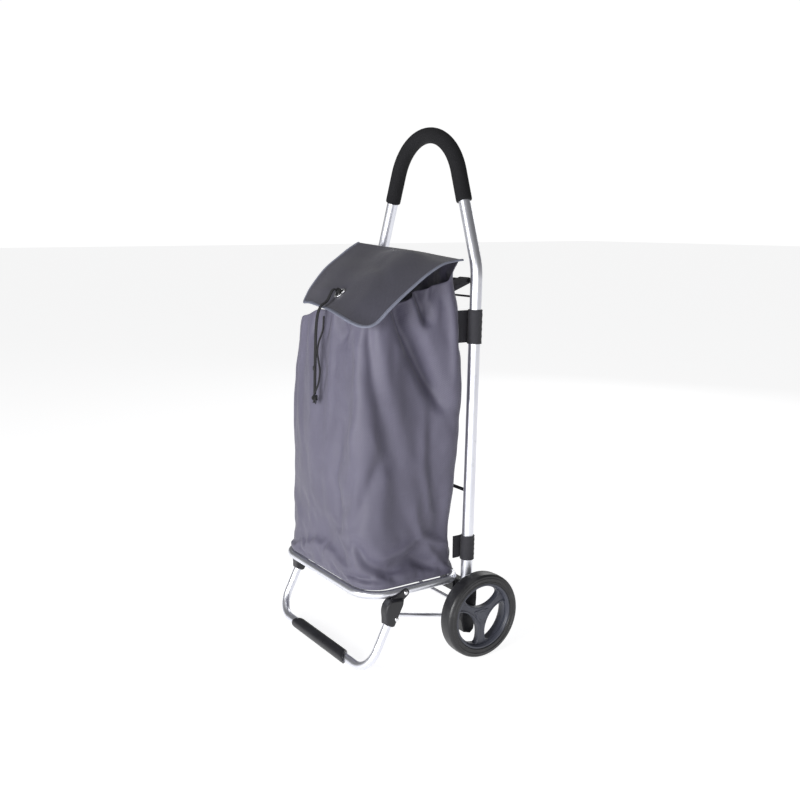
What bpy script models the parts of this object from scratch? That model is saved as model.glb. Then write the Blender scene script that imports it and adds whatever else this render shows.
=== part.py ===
"""Folding two-wheel shopping trolley.

Origin on the floor under the middle of the object, +X to the right seen from the front,
the front faces -Y, +Z up.  Metres throughout.
"""
import math

import bpy
import bmesh
from mathutils import Matrix, Vector

# ---------------------------------------------------------------- driving dimensions
GAP = 0.0003                    # clearance between neighbouring pieces
SIDES = (("right", 1), ("left", -1))

# rear axle and wheels
AXLE = Vector((0, 0.0820, 0.0825))
AXLE_RADIUS = 0.0040
WHEEL_CENTRE_X = 0.2020
TYRE_RADIUS = 0.0825
TYRE_HALF_WIDTH = 0.0165
RIM_RADIUS = 0.0640
WINDOW_RADIUS = 0.0575          # outer arc of the openings between the spokes
WINDOW_CURVE_CENTRE = 0.0676    # inner arc of the openings: centre and radius
WINDOW_CURVE_RADIUS = 0.0511
SPOKE_TURN = math.radians(-90)  # one spoke points down
WHEEL_STEPS = 36

# upright handle, in a plane that leans back a little
LEG_X = 0.1640
LEG_RADIUS = 0.0110
LEG_Y = 0.0757
LEAN = 0.0220                   # run back per metre of height
LEG_BOTTOM = 0.1040
BEND_Z = 0.7380
CONVERGE = 0.3635               # run inward per metre of height above the bend
BEND_RADIUS = 0.1200
ARCH_RADIUS = 0.1065
GRIP_BOTTOM = 0.8580
GRIP_RADIUS = 0.0150
CROSS_RODS = (("upper_cross_rod", 0.7140, 0.0035), ("bag_wire", 0.6850, 0.0020),
              ("lower_cross_rod", 0.3160, 0.0033))

# folding base loop
BASE_PIVOT = Vector((0, 0.0585, 0.1510))
BASE_X = 0.1670
BASE_FRONT = -0.1490
BASE_RADIUS = 0.0075
BASE_FRONT_CORNER = 0.0550
BASE_REAR_CORNER = 0.0300

# front stand and its hinge sockets
STAND_PIVOT = Vector((0, -0.0713, 0.1510))
STAND_FOOT = Vector((0, -0.1525, 0.0120))
STAND_SLOPE = math.radians(26.8)
STAND_X = 0.1750
STAND_RADIUS = 0.0080
STAND_CORNER = 0.0450
STAND_TOP = 0.0220              # start of the tube below the hinge line
SLEEVE_RADIUS = 0.0120
SLEEVE_HALF = 0.0930
SOCKET_INNER_X = 0.1640
SOCKET_OUTER_X = 0.1860
EAR_INNER_X = 0.1750
EAR_OUTER_X = 0.1788
RIVET_RADIUS = 0.0024
FOLD_ANGLE = math.radians(80)   # base loop, rest to folded
STAND_ANGLE = math.radians(100)  # stand against the base loop, rest to folded

# link rods
LINK_FRONT = Vector((0, -0.0963, 0.1075))
LINK_REAR_Y = 0.0660
LINK_RADIUS = 0.0035
LINK_FRONT_X = 0.1600
LINK_REAR_X = 0.1535

# bag: height, half width, front and rear of each level, and the mouth
BAG_BOTTOM = 0.1600
BAG_LEVELS = ((0.1600, 0.1620, -0.1480, 0.0500), (0.2100, 0.1650, -0.1510, 0.0510),
              (0.3300, 0.1590, -0.1490, 0.0515), (0.4500, 0.1620, -0.1470, 0.0520),
              (0.5600, 0.1570, -0.1420, 0.0530), (0.6400, 0.1480, -0.1310, 0.0535))
BAG_CORNER = 0.0450
BAG_WALL = 0.0030
MOUTH_REAR_Z = 0.7520
MOUTH_SLOPE = 0.6000
MOUTH = (0.1400, -0.1240, 0.0540)
STRAPS = (("upper", 0.5990, 0.6620), ("lower", 0.1830, 0.2300))
STRAP_THICKNESS = 0.0020

# flap: profile from the hinge to the front hem
FLAP_HINGE = Vector((0, 0.0525, 0.7560))
FLAP_PROFILE = ((0.0500, 0.7560), (0.0200, 0.7525), (-0.0150, 0.7390), (-0.0500, 0.7150),
                (-0.0800, 0.6910), (-0.1100, 0.6690), (-0.1350, 0.6540), (-0.1530, 0.6460))
FLAP_REAR_HALF = 0.1650
FLAP_FRONT_HALF = 0.1500
FLAP_CROWN = 0.0140
FLAP_THICKNESS = 0.0030
EYELET_Y = -0.1020
EYELET_HOLE = 0.0090

# drawstring
CORD_RADIUS = 0.0017
KNOT = Vector((0, -0.1630, 0.4960))
KNOT_RADIUS = 0.0055

PALETTE = {
    "aluminium": ((0.72, 0.73, 0.75), 0.32, 1.0),
    "black_plastic": ((0.022, 0.022, 0.025), 0.45, 0.0),
    "foam": ((0.012, 0.012, 0.013), 0.85, 0.0),
    "tyre": ((0.020, 0.020, 0.022), 0.40, 0.0),
    "rim": ((0.070, 0.073, 0.085), 0.42, 0.0),
    "rivet_steel": ((0.80, 0.80, 0.82), 0.20, 1.0),
    "bag_fabric": ((0.105, 0.098, 0.125), 0.60, 0.0),
    "flap_fabric": ((0.090, 0.085, 0.110), 0.60, 0.0),
    "binding": ((0.300, 0.310, 0.380), 0.55, 0.0),
    "webbing": ((0.030, 0.028, 0.035), 0.80, 0.0),
    "cord": ((0.008, 0.008, 0.009), 0.80, 0.0),
}


# ---------------------------------------------------------------- helpers
def clear_scene():
    for old in list(bpy.data.objects):
        bpy.data.objects.remove(old, do_unlink=True)


def material(name):
    found = bpy.data.materials.get(name)
    if found:
        return found
    colour, roughness, metallic = PALETTE[name]
    made = bpy.data.materials.new(name)
    made.use_nodes = True
    shader = made.node_tree.nodes["Principled BSDF"]
    shader.inputs["Base Color"].default_value = (*colour, 1)
    shader.inputs["Roughness"].default_value = roughness
    shader.inputs["Metallic"].default_value = metallic
    made.diffuse_color = (*colour, 1)
    return made


def add_object(name, data, slot, pivot=None):
    """Link an object; its origin goes to the pivot and its shape stays where it is."""
    thing = bpy.data.objects.new(name, data)
    bpy.context.collection.objects.link(thing)
    if slot:
        data.materials.append(material(slot))
    if pivot is not None:
        data.transform(Matrix.Translation(-pivot))
        thing.location = pivot
    return thing


def add_mesh(name, bm, slot, pivot=None):
    bm.normal_update()
    bmesh.ops.recalc_face_normals(bm, faces=bm.faces)
    mesh = bpy.data.meshes.new(name)
    bm.to_mesh(mesh)
    bm.free()
    mesh.shade_smooth()
    mesh.set_sharp_from_angle(angle=math.radians(35))
    return add_object(name, mesh, slot, pivot)


def skin(rings, wrap=False):
    """Quads between rings of points; the ends are capped unless the rings wrap round."""
    bm = bmesh.new()
    rows = [[bm.verts.new(point) for point in ring] for ring in rings]
    following = rows[1:] + rows[:1] if wrap else rows[1:]
    for row, other in zip(rows, following):
        for i in range(len(row)):
            j = (i + 1) % len(row)
            bm.faces.new((row[i], row[j], other[j], other[i]))
    if not wrap:
        bm.faces.new(reversed(rows[0]))
        bm.faces.new(rows[-1])
    return bm


def rounded_path(corners, radii, steps, closed=False):
    """Points along straight runs whose corners are replaced by arcs."""
    corners = [Vector(corner) for corner in corners]
    points = []
    for i, corner in enumerate(corners):
        if radii[i] == 0:
            points.append(corner)
            continue
        before = (corners[i - 1] - corner).normalized()
        after = (corners[(i + 1) % len(corners)] - corner).normalized()
        half = before.angle(after) / 2
        start = corner + before * radii[i] / math.tan(half)
        centre = corner + (before + after).normalized() * radii[i] / math.sin(half)
        turn = math.pi - 2 * half
        swing = (start - centre).normalized()
        side = (corner - centre - swing * (corner - centre).dot(swing)).normalized()
        for k in range(steps[i] + 1):
            angle = turn * k / steps[i]
            points.append(centre + radii[i] * (swing * math.cos(angle) + side * math.sin(angle)))
    return points


def tube(name, points, radius, slot, closed=False, pivot=None, resolution=4, drilled=False):
    """A round bar along a path, as a curve with a bevel and filled caps; a mesh if drilled."""
    curve = bpy.data.curves.new(name, "CURVE")
    curve.dimensions = "3D"
    curve.bevel_depth = radius
    curve.bevel_resolution = resolution
    curve.use_fill_caps = not closed
    spline = curve.splines.new("POLY")
    spline.points.add(len(points) - 1)
    for slot_point, point in zip(spline.points, points):
        slot_point.co = (*point, 1)
    spline.use_cyclic_u = closed
    if not drilled:
        return add_object(name, curve, slot, pivot)
    bar_curve = add_object(name + "_path", curve, None)
    mesh = bpy.data.meshes.new_from_object(bar_curve)
    bpy.data.objects.remove(bar_curve, do_unlink=True)
    return add_object(name, mesh, slot, pivot)


def bar(name, start, end, radius, slot=None, steps=16, pivot=None):
    """A cylinder between two points."""
    start = Vector(start)
    axis = Vector(end) - start
    bm = bmesh.new()
    bmesh.ops.create_cone(bm, cap_ends=True, segments=steps, radius1=radius, radius2=radius,
                          depth=axis.length)
    turn = Vector((0, 0, 1)).rotation_difference(axis).to_matrix().to_4x4()
    bm.transform(Matrix.Translation(start + axis / 2) @ turn)
    return add_mesh(name, bm, slot, pivot)


def turned(name, profile, centre, slot, side=1, steps=WHEEL_STEPS, pivot=None):
    """A profile of (distance out along X, radius) turned round the X axis at the centre."""
    bm = skin([[Vector((side * out, radius * math.cos(a), radius * math.sin(a))) + centre
                for out, radius in profile]
               for a in (2 * math.pi * k / steps for k in range(steps))], wrap=True)
    return add_mesh(name, bm, slot, pivot)


def slab(name, outline, x_low, x_high, slot=None, bevel=0.0, side=1, pivot=None):
    """A closed (y, z) outline extruded along X, with its two rims bevelled."""
    bm = skin([[Vector((side * x, y, z)) for y, z in outline] for x in (x_low, x_high)])
    bmesh.ops.recalc_face_normals(bm, faces=bm.faces)
    if bevel:
        rims = [edge for edge in bm.edges if abs(edge.verts[0].co.x - edge.verts[1].co.x) < 1e-6]
        bmesh.ops.bevel(bm, geom=rims, offset=bevel, segments=2, affect="EDGES", profile=0.5)
    return add_mesh(name, bm, slot, pivot)


def block(name, low, high, slot=None):
    bm = bmesh.new()
    bmesh.ops.create_cube(bm, size=1)
    low = Vector(low)
    high = Vector(high)
    bm.transform(Matrix.Translation((low + high) / 2) @ Matrix.Diagonal((*(high - low), 1)))
    return add_mesh(name, bm, slot)


def combine(target, other, operation):
    """A Boolean with another object, which stays hidden as its cutter."""
    other.hide_render = True
    other.display_type = "WIRE"
    other.name = "cutter_" + other.name
    step = target.modifiers.new(operation.title(), "BOOLEAN")
    step.operation = operation
    step.object = other
    step.solver = "EXACT"


def cut(target, *others):
    for other in others:
        combine(target, other, "DIFFERENCE")


def join(target, *others):
    for other in others:
        combine(target, other, "UNION")


def circle(centre, radius, steps, start=0.0, sweep=2 * math.pi):
    """(y, z) points of an arc; a full circle leaves out its last point."""
    count = steps if abs(sweep) >= 2 * math.pi - 1e-6 else steps + 1
    return [(centre[0] + radius * math.cos(start + sweep * k / steps),
             centre[1] + radius * math.sin(start + sweep * k / steps)) for k in range(count)]


def smooth_route(points, spacing):
    """Evenly spaced points on a Catmull-Rom curve through hand-chosen points."""
    points = [Vector(point) for point in points]
    padded = [2 * points[0] - points[1], *points, 2 * points[-1] - points[-2]]
    fine = []
    for before, here, there, after in zip(padded, padded[1:], padded[2:], padded[3:]):
        for k in range(16):
            t = k / 16
            fine.append(0.5 * (2 * here + (there - before) * t
                               + (2 * before - 5 * here + 4 * there - after) * t ** 2
                               + (3 * here - before - 3 * there + after) * t ** 3))
    fine.append(points[-1])
    lengths = [(b - a).length for a, b in zip(fine, fine[1:])]
    count = max(2, round(sum(lengths) / spacing))
    route = [fine[0]]
    walked = 0.0
    for start, end, length in zip(fine, fine[1:], lengths):
        while len(route) < count and walked + length >= sum(lengths) * len(route) / count:
            route.append(start.lerp(end, (sum(lengths) * len(route) / count - walked) / length))
        walked += length
    return route + [fine[-1]]


# ---------------------------------------------------------------- shared places
def leg_y(z):
    return LEG_Y + LEAN * z


def handle_path():
    apex_z = BEND_Z + LEG_X / CONVERGE
    corners = [(x, leg_y(z), z) for x, z in ((LEG_X, LEG_BOTTOM), (LEG_X, BEND_Z), (0, apex_z),
                                             (-LEG_X, BEND_Z), (-LEG_X, LEG_BOTTOM))]
    return rounded_path(corners, (0, BEND_RADIUS, ARCH_RADIUS, BEND_RADIUS, 0), (0, 5, 16, 5, 0))


def stand_point(down, rear):
    """(y, z) on the stand: distance down its tube from the hinge, and towards the rear."""
    up = Vector((math.sin(STAND_SLOPE), math.cos(STAND_SLOPE)))
    across = Vector((math.cos(STAND_SLOPE), -math.sin(STAND_SLOPE)))
    reach = Vector((STAND_PIVOT.y - STAND_FOOT.y, STAND_PIVOT.z - STAND_FOOT.z))
    point = Vector((STAND_FOOT.y, STAND_FOOT.z)) + up * (reach.dot(up) - down) + across * rear
    return point.x, point.y


def turn_about(point, pivot, angle):
    return pivot + Matrix.Rotation(angle, 3, "X") @ (point - pivot)


def link_rear():
    """The link's rear pivot: level with the link's front pivot at rest and when folded."""
    folded = turn_about(turn_about(LINK_FRONT, STAND_PIVOT, STAND_ANGLE), BASE_PIVOT, -FOLD_ANGLE)
    middle = (LINK_FRONT + folded) / 2
    chord = folded - LINK_FRONT
    return Vector((0, LINK_REAR_Y, middle.z - (LINK_REAR_Y - middle.y) * chord.y / chord.z))


def flap_height(x, y):
    """The flap's middle surface: the profile, raised in the middle of its width."""
    for (y0, z0), (y1, z1) in zip(FLAP_PROFILE, FLAP_PROFILE[1:]):
        if y >= y1:
            break
    level = z0 + (z1 - z0) * (y - y0) / (y1 - y0)
    forward = min(1.0, (FLAP_PROFILE[0][0] - y) / 0.06)
    return level + FLAP_CROWN * forward * (1 - (x / FLAP_REAR_HALF) ** 2)


# ---------------------------------------------------------------- upright frame
def make_handle():
    path = handle_path()
    tube("handle_tube", path, LEG_RADIUS, "aluminium")

    covered = [point for point in path if point.z > GRIP_BOTTOM + 0.01]
    low = Vector((LEG_X - CONVERGE * (GRIP_BOTTOM - BEND_Z), leg_y(GRIP_BOTTOM), GRIP_BOTTOM))
    toward = (covered[0] - low).normalized()
    starts = [low, low + toward * 0.0015, low + toward * 0.005]
    ends = [Vector((-point.x, point.y, point.z)) for point in reversed(starts)]
    route = starts + covered + ends
    radii = [GRIP_RADIUS - inset for inset in (0.0022, 0.0006)]
    radii = radii + [GRIP_RADIUS] * (len(route) - 4) + radii[::-1]
    plane = Vector((0, 1, -LEAN)).normalized()

    def ring(i, radius):
        ahead = (route[min(i + 1, len(route) - 1)] - route[max(i - 1, 0)]).normalized()
        side = ahead.cross(plane)
        return [route[i] + radius * (plane * math.cos(a) + side * math.sin(a))
                for a in (2 * math.pi * k / 12 for k in range(12))]

    outer = [ring(i, radius) for i, radius in enumerate(radii)]
    inner = [ring(i, LEG_RADIUS + 2 * GAP) for i in range(len(route))]
    add_mesh("handle_grip", skin(outer + inner[::-1], wrap=True), "foam")


def make_cross_rods():
    for name, z, radius in CROSS_RODS:
        reach = LEG_X - LEG_RADIUS - GAP
        bar(name, (-reach, leg_y(z), z), (reach, leg_y(z), z), radius, "black_plastic", 10)


def make_rear_bracket(name, side):
    pivot = link_rear()
    top = 0.1420
    middle = leg_y(top) - 0.0005
    body = slab(f"rear_bracket_{name}",
                [(middle - 0.0160, top), (middle + 0.0160, top), (middle + 0.0160, 0.1050),
                 (0.0920, 0.0720), (0.0880, 0.0420), (0.0800, 0.0350), (0.0640, 0.0400),
                 (pivot.y - 0.0085, pivot.z), (middle - 0.0160, 0.1000)],
                0.1580, 0.1785, "black_plastic", 0.0015, side)
    inner = block("bracket_block", (side * 0.1490, middle - 0.0155, 0.0980),
                  (side * 0.1640, middle + 0.0155, top - 0.0006))
    arm = block("bracket_arm", (side * 0.1100, BASE_PIVOT.y - 0.0030, 0.1180),
                (side * 0.1520, leg_y(top), 0.1420))
    lug = bar("bracket_lug", (side * 0.1100, *BASE_PIVOT.yz), (side * 0.1365, *BASE_PIVOT.yz),
              0.0108, steps=16)
    join(body, inner, arm, lug)
    lean_axis = (side * LEG_X, leg_y(LEG_BOTTOM - GAP), LEG_BOTTOM - GAP)
    leg_bore = bar("leg_bore", lean_axis, (side * LEG_X, leg_y(0.2), 0.2), LEG_RADIUS + GAP)
    loop_bore = bar("loop_bore", (side * 0.1, *BASE_PIVOT.yz), (side * 0.16, *BASE_PIVOT.yz),
                    BASE_RADIUS + 0.0004)
    axle_bore = bar("axle_bore", (side * 0.14, *AXLE.yz), (side * 0.19, *AXLE.yz),
                    AXLE_RADIUS + GAP, steps=12)
    pin_bore = bar("pin_bore", (side * 0.15, *pivot.yz), (side * 0.1680, *pivot.yz),
                   RIVET_RADIUS + GAP, steps=10)
    cut(body, leg_bore, loop_bore, axle_bore, pin_bore)


def make_axle():
    reach = WHEEL_CENTRE_X + 0.0067
    bar("wheel_axle", (-reach, *AXLE.yz), (reach, *AXLE.yz), AXLE_RADIUS, "rivet_steel", 12)


# ---------------------------------------------------------------- wheels
def window_outline():
    """The opening between two spokes: an outer arc and an inner arc, centred on +Y."""
    near = (WINDOW_RADIUS ** 2 + WINDOW_CURVE_CENTRE ** 2 - WINDOW_CURVE_RADIUS ** 2)
    near = near / (2 * WINDOW_CURVE_CENTRE)
    corner = math.acos(near / WINDOW_RADIUS)
    inner = math.atan2(WINDOW_RADIUS * math.sin(corner), near - WINDOW_CURVE_CENTRE)
    outer_arc = circle((0, 0), WINDOW_RADIUS, 8, -corner, 2 * corner)
    inner_arc = circle((WINDOW_CURVE_CENTRE, 0), WINDOW_CURVE_RADIUS, 10, inner,
                       2 * (math.pi - inner))
    return outer_arc + inner_arc[1:-1]


def make_wheel(name, side):
    centre = Vector((side * WHEEL_CENTRE_X, *AXLE.yz))
    tyre = [(0.0145, RIM_RADIUS + GAP), (0.0162, 0.0665), (0.0164, 0.0735), (0.0145, 0.0785),
            (0.0095, 0.0815), (0.0, TYRE_RADIUS)]
    turned(f"tyre_{name}", tyre + [(-out, radius) for out, radius in tyre[-2::-1]], centre,
           "tyre", side, pivot=centre)

    bore = AXLE_RADIUS + GAP
    lip = WINDOW_RADIUS + 0.0012
    rim = [(-0.0180, bore), (-0.0180, 0.0110), (-0.0030, 0.0125), (-0.0030, lip),
           (-0.0140, 0.0595), (-0.0145, RIM_RADIUS), (0.0145, RIM_RADIUS), (0.0140, 0.0605),
           (0.0085, lip), (0.0085, 0.0128), (0.0052, 0.0125), (0.0052, bore)]
    wheel = turned(f"wheel_rim_{name}", rim, centre, "rim", side, pivot=centre)
    for k in range(3):
        window = slab(f"window_{name}_{k}", window_outline(), -0.03, 0.03)
        sharp = bmesh.new()
        sharp.from_mesh(window.data)
        long_edges = [edge for edge in sharp.edges
                      if abs(edge.verts[0].co.x - edge.verts[1].co.x) > 0.01
                      and edge.calc_face_angle() > math.radians(50)]
        bmesh.ops.bevel(sharp, geom=long_edges, offset=0.0045, segments=2, affect="EDGES")
        sharp.to_mesh(window.data)
        sharp.free()
        window.location = centre
        window.rotation_euler.x = SPOKE_TURN + math.radians(60 + 120 * k)
        cut(wheel, window)

    turned(f"axle_clip_{name}", [(0.0055, bore), (0.0055, 0.0075), (0.0066, 0.0065),
                                 (0.0066, bore)], centre, "rivet_steel", side, 14)
    cap = [(0.0071, 0.0105), (0.0100, 0.0122), (0.0112, 0.0105)]
    bm = skin([[Vector((side * out, radius * math.cos(a), radius * math.sin(a))) + centre
                for a in (2 * math.pi * k / 20 for k in range(20))] for out, radius in cap])
    add_mesh(f"hub_cap_{name}", bm, "rim", centre)


# ---------------------------------------------------------------- folding base and stand
def make_base_loop():
    z = BASE_PIVOT.z
    corners = [(BASE_X, BASE_PIVOT.y, z), (BASE_X, BASE_FRONT, z), (-BASE_X, BASE_FRONT, z),
               (-BASE_X, BASE_PIVOT.y, z)]
    radii = (BASE_REAR_CORNER, BASE_FRONT_CORNER, BASE_FRONT_CORNER, BASE_REAR_CORNER)
    path = rounded_path(corners, radii, (6, 7, 7, 6), closed=True)
    loop = tube("base_loop", path, BASE_RADIUS, "aluminium", closed=True, pivot=BASE_PIVOT,
                drilled=True)
    for name, side in SIDES:
        cut(loop, bar(f"pin_hole_{name}", (side * 0.150, *STAND_PIVOT.yz),
                      (side * 0.185, *STAND_PIVOT.yz), RIVET_RADIUS + GAP, steps=10))


def rivet(name, x_end, x_face, side, at, pivot):
    """A domed head that stands off a face, with its shank going inward to x_end."""
    profile = [(x_end, RIVET_RADIUS), (x_face + GAP, RIVET_RADIUS), (x_face + GAP, 0.0042),
               (x_face + 0.0012, 0.0038), (x_face + 0.0020, 0.0020)]
    bm = skin([[Vector((side * out, at.y + radius * math.cos(a), at.z + radius * math.sin(a)))
                for a in (2 * math.pi * k / 12 for k in range(12))] for out, radius in profile])
    add_mesh(name, bm, "rivet_steel", pivot)


def make_socket(name, side):
    """Moulded hinge socket: a bulged barrel round the stand tube and an ear on the loop."""
    top = BASE_PIVOT.z - BASE_RADIUS - 0.0012
    outline = [(stand_point(0.010, 0)[0] - 0.0120, top), (stand_point(0.018, 10.8e-3)[0], top)]
    outline += [stand_point(down, rear) for down, rear in
                ((0.022, 0.0108), (0.064, 0.0104), (0.067, 0.0060), (0.067, -0.0080),
                 (0.058, -0.0125), (0.046, -0.0152), (0.034, -0.0160), (0.022, -0.0145))]
    socket = slab(f"hinge_socket_{name}", outline, SOCKET_INNER_X, SOCKET_OUTER_X,
                  "black_plastic", 0.0035, side, STAND_PIVOT)
    root = stand_point(0.024, -0.004)
    along = math.atan2(STAND_PIVOT.z - root[1], STAND_PIVOT.y - root[0])
    ear_outline = (circle(STAND_PIVOT.yz, 0.0078, 8, along - math.pi / 2, math.pi)
                   + circle(root, 0.0088, 6, along + math.pi / 2, math.pi))
    ear = slab("ear", ear_outline, EAR_INNER_X, EAR_OUTER_X, bevel=0.0006, side=side)
    join(socket, ear)

    start = (side * STAND_X, *stand_point(STAND_TOP - GAP, 0))
    tube_bore = bar("tube_bore", start, (side * STAND_X, *stand_point(0.09, 0)),
                    STAND_RADIUS + GAP, steps=20)
    upper_hole = bar("upper_hole", (side * 0.172, *STAND_PIVOT.yz), (side * 0.19, *STAND_PIVOT.yz),
                     RIVET_RADIUS + GAP, steps=10)
    lower_hole = bar("lower_hole", (side * 0.1845, *LINK_FRONT.yz), (side * 0.19, *LINK_FRONT.yz),
                     RIVET_RADIUS + GAP, steps=10)
    reach = Vector((0, math.cos(STAND_ANGLE), -math.sin(STAND_ANGLE))) * 0.15
    groove_end = STAND_PIVOT + Vector((side * BASE_X, reach.y, reach.z))
    groove = bar("groove", STAND_PIVOT + Vector((side * BASE_X, 0, 0)), groove_end,
                 BASE_RADIUS + 0.0008, steps=20)
    cut(socket, tube_bore, upper_hole, lower_hole, groove)

    rivet(f"hinge_rivet_{name}", 0.1640, EAR_OUTER_X, side, STAND_PIVOT, BASE_PIVOT)
    rivet(f"socket_rivet_{name}", 0.1848, SOCKET_OUTER_X, side, LINK_FRONT, STAND_PIVOT)


def make_stand():
    top = stand_point(STAND_TOP, 0)
    foot = (STAND_FOOT.y, STAND_FOOT.z)
    corners = [(STAND_X, *top), (STAND_X, *foot), (-STAND_X, *foot), (-STAND_X, *top)]
    path = rounded_path(corners, (0, STAND_CORNER, STAND_CORNER, 0), (0, 8, 8, 0))
    tube("stand_tube", path, STAND_RADIUS, "aluminium", pivot=STAND_PIVOT)

    # an open sleeve round the bar, its ends cut on a slant
    steps = 16
    rings = []
    for end, radii in ((1, (SLEEVE_RADIUS, STAND_RADIUS + GAP)),
                       (-1, (STAND_RADIUS + GAP, SLEEVE_RADIUS))):
        for radius in radii:
            rings.append([Vector((end * (SLEEVE_HALF + 0.010 * math.cos(a)),
                                  foot[0] - radius * math.cos(a), foot[1] + radius * math.sin(a)))
                          for a in (2 * math.pi * k / steps for k in range(steps))])
    outer_right, inner_right, inner_left, outer_left = rings
    bm = skin([outer_right, inner_right, inner_left, outer_left], wrap=True)
    add_mesh("foot_sleeve", bm, "black_plastic", STAND_PIVOT)


def make_link(name, side):
    """A round rod with a flat eye at each end."""
    rear = link_rear()
    ends = [(Vector((side * LINK_FRONT_X, *LINK_FRONT.yz)), 0.0018),
            (Vector((side * LINK_REAR_X, *rear.yz)), 0.0022)]
    rod = bar(f"link_rod_{name}", ends[0][0].lerp(ends[1][0], 0.031),
              ends[1][0].lerp(ends[0][0], 0.031), LINK_RADIUS, "aluminium", 10, rear)
    for place, half in ends:
        join(rod, bar("eye", place - Vector((half, 0, 0)), place + Vector((half, 0, 0)), 0.0060))
    cut(rod, bar("eye_hole", (side * 0.14, *rear.yz), (side * 0.17, *rear.yz),
                 RIVET_RADIUS + GAP, steps=10))
    head = side * (LINK_REAR_X - 0.0043)
    profile = ((head, 0.0042), (head + side * 0.0015, 0.0042),
               (head + side * 0.0015, RIVET_RADIUS), (side * 0.1675, RIVET_RADIUS))
    bm = skin([[Vector((x, rear.y + radius * math.cos(a), rear.z + radius * math.sin(a)))
                for a in (2 * math.pi * k / 12 for k in range(12))] for x, radius in profile])
    add_mesh(f"link_pin_{name}", bm, "rivet_steel")


# ---------------------------------------------------------------- bag
def level_ring(half, front, rear, inset, height):
    """A rounded rectangle of 24 points; height is a number or a function of y."""
    corner = BAG_CORNER - inset
    low_y, high_y = front + inset + corner, rear - inset - corner * 0.5
    points = []
    for cx, cy, start, depth in ((half - inset - corner, low_y, -90, 1.0),
                                 (half - inset - corner, high_y, 0, 0.5),
                                 (corner + inset - half, high_y, 90, 0.5),
                                 (corner + inset - half, low_y, 180, 1.0)):
        for k in range(6):
            a = math.radians(start + 18 * k)
            points.append((cx + corner * math.cos(a), cy + corner * depth * math.sin(a)))
    return [Vector((x, y, height(y) if callable(height) else height)) for x, y in points]


def mouth_height(y):
    return MOUTH_REAR_Z - MOUTH_SLOPE * (MOUTH[2] - y)


def make_bag():
    rings = []
    for inset in (0.0, BAG_WALL):
        wall = [level_ring(half, front, rear, inset, z + (inset if z == BAG_BOTTOM else 0))
                for z, half, front, rear in BAG_LEVELS]
        for ring in wall:
            for point in ring:
                point.z = min(point.z, mouth_height(point.y) - 0.02)
        wall.append(level_ring(*MOUTH, inset, mouth_height))
        rings += wall if inset == 0 else wall[::-1]
    add_mesh("bag_shell", skin(rings), "bag_fabric")
    z, half, front, rear = BAG_LEVELS[0]
    base = BAG_BOTTOM + BAG_WALL + 0.0010
    panel = [level_ring(half, front, rear, BAG_WALL + 0.004, height)
             for height in (base, base + 0.0030)]
    add_mesh("base_panel", skin(panel), "webbing")


def make_strap(side_name, side, name, low, high):
    """A fabric sleeve round a leg, sewn to the rear corner of the bag by a tab."""
    start = (side * LEG_X, leg_y(low), low)
    end = (side * LEG_X, leg_y(high), high)
    radius = LEG_RADIUS + GAP
    strap = bar(f"strap_{name}_{side_name}", start, end, radius + STRAP_THICKNESS, "webbing")
    inner = side * (LEG_X - radius - STRAP_THICKNESS)
    join(strap, block("tab", (inner, BAG_LEVELS[3][3] + 0.0030, low + 0.0015),
                      (inner + side * 0.0045, leg_y(low), high - 0.0015)))
    cut(strap, bar("strap_bore", (side * LEG_X, leg_y(low - 0.01), low - 0.01),
                   (side * LEG_X, leg_y(high + 0.01), high + 0.01), radius))


def make_hanger(name, side):
    """A webbing loop from the upper cross rod to the rear of the bag."""
    z = CROSS_RODS[0][1]
    at = (leg_y(z), z)
    foot = (MOUTH[2] + 0.0020, z - 0.0140)
    along = math.atan2(at[1] - foot[1], at[0] - foot[0])
    outline = circle(at, 0.0060, 10, along - math.pi / 2, math.pi) + [
        (foot[0], foot[1] + 0.0040), (foot[0], foot[1] - 0.0060)]
    loop = slab(f"hanger_loop_{name}", outline, 0.1130, 0.1420, "webbing", 0.0008, side)
    cut(loop, bar("rod_bore", (side * 0.10, *at), (side * 0.15, *at), 0.0035 + GAP, steps=12))


# ---------------------------------------------------------------- flap and drawstring
def make_flap():
    columns = 11
    layers = []
    for lift in (FLAP_THICKNESS / 2, -FLAP_THICKNESS / 2):
        grid = []
        for y, _ in FLAP_PROFILE:
            run = (FLAP_PROFILE[0][0] - y) / (FLAP_PROFILE[0][0] - FLAP_PROFILE[-1][0])
            half = FLAP_REAR_HALF + (FLAP_FRONT_HALF - FLAP_REAR_HALF) * run
            row = [half * (2 * k / (columns - 1) - 1) for k in range(columns)]
            grid.append([Vector((x, y, flap_height(x, y) + lift)) for x in row])
        layers.append(grid)
    rings = [upper + lower[::-1] for upper, lower in zip(*layers)]
    flap = add_mesh("flap", skin(rings), "flap_fabric", FLAP_HINGE)
    place, normal = eyelet_frame()
    cut(flap, bar("eyelet_hole", place - normal * 0.02, place + normal * 0.02, EYELET_HOLE))


def eyelet_frame():
    step = 0.004
    here = Vector((0, EYELET_Y, flap_height(0, EYELET_Y)))
    slope = (flap_height(0, EYELET_Y + step) - flap_height(0, EYELET_Y - step)) / (2 * step)
    return here, Vector((0, -slope, 1)).normalized()


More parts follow.
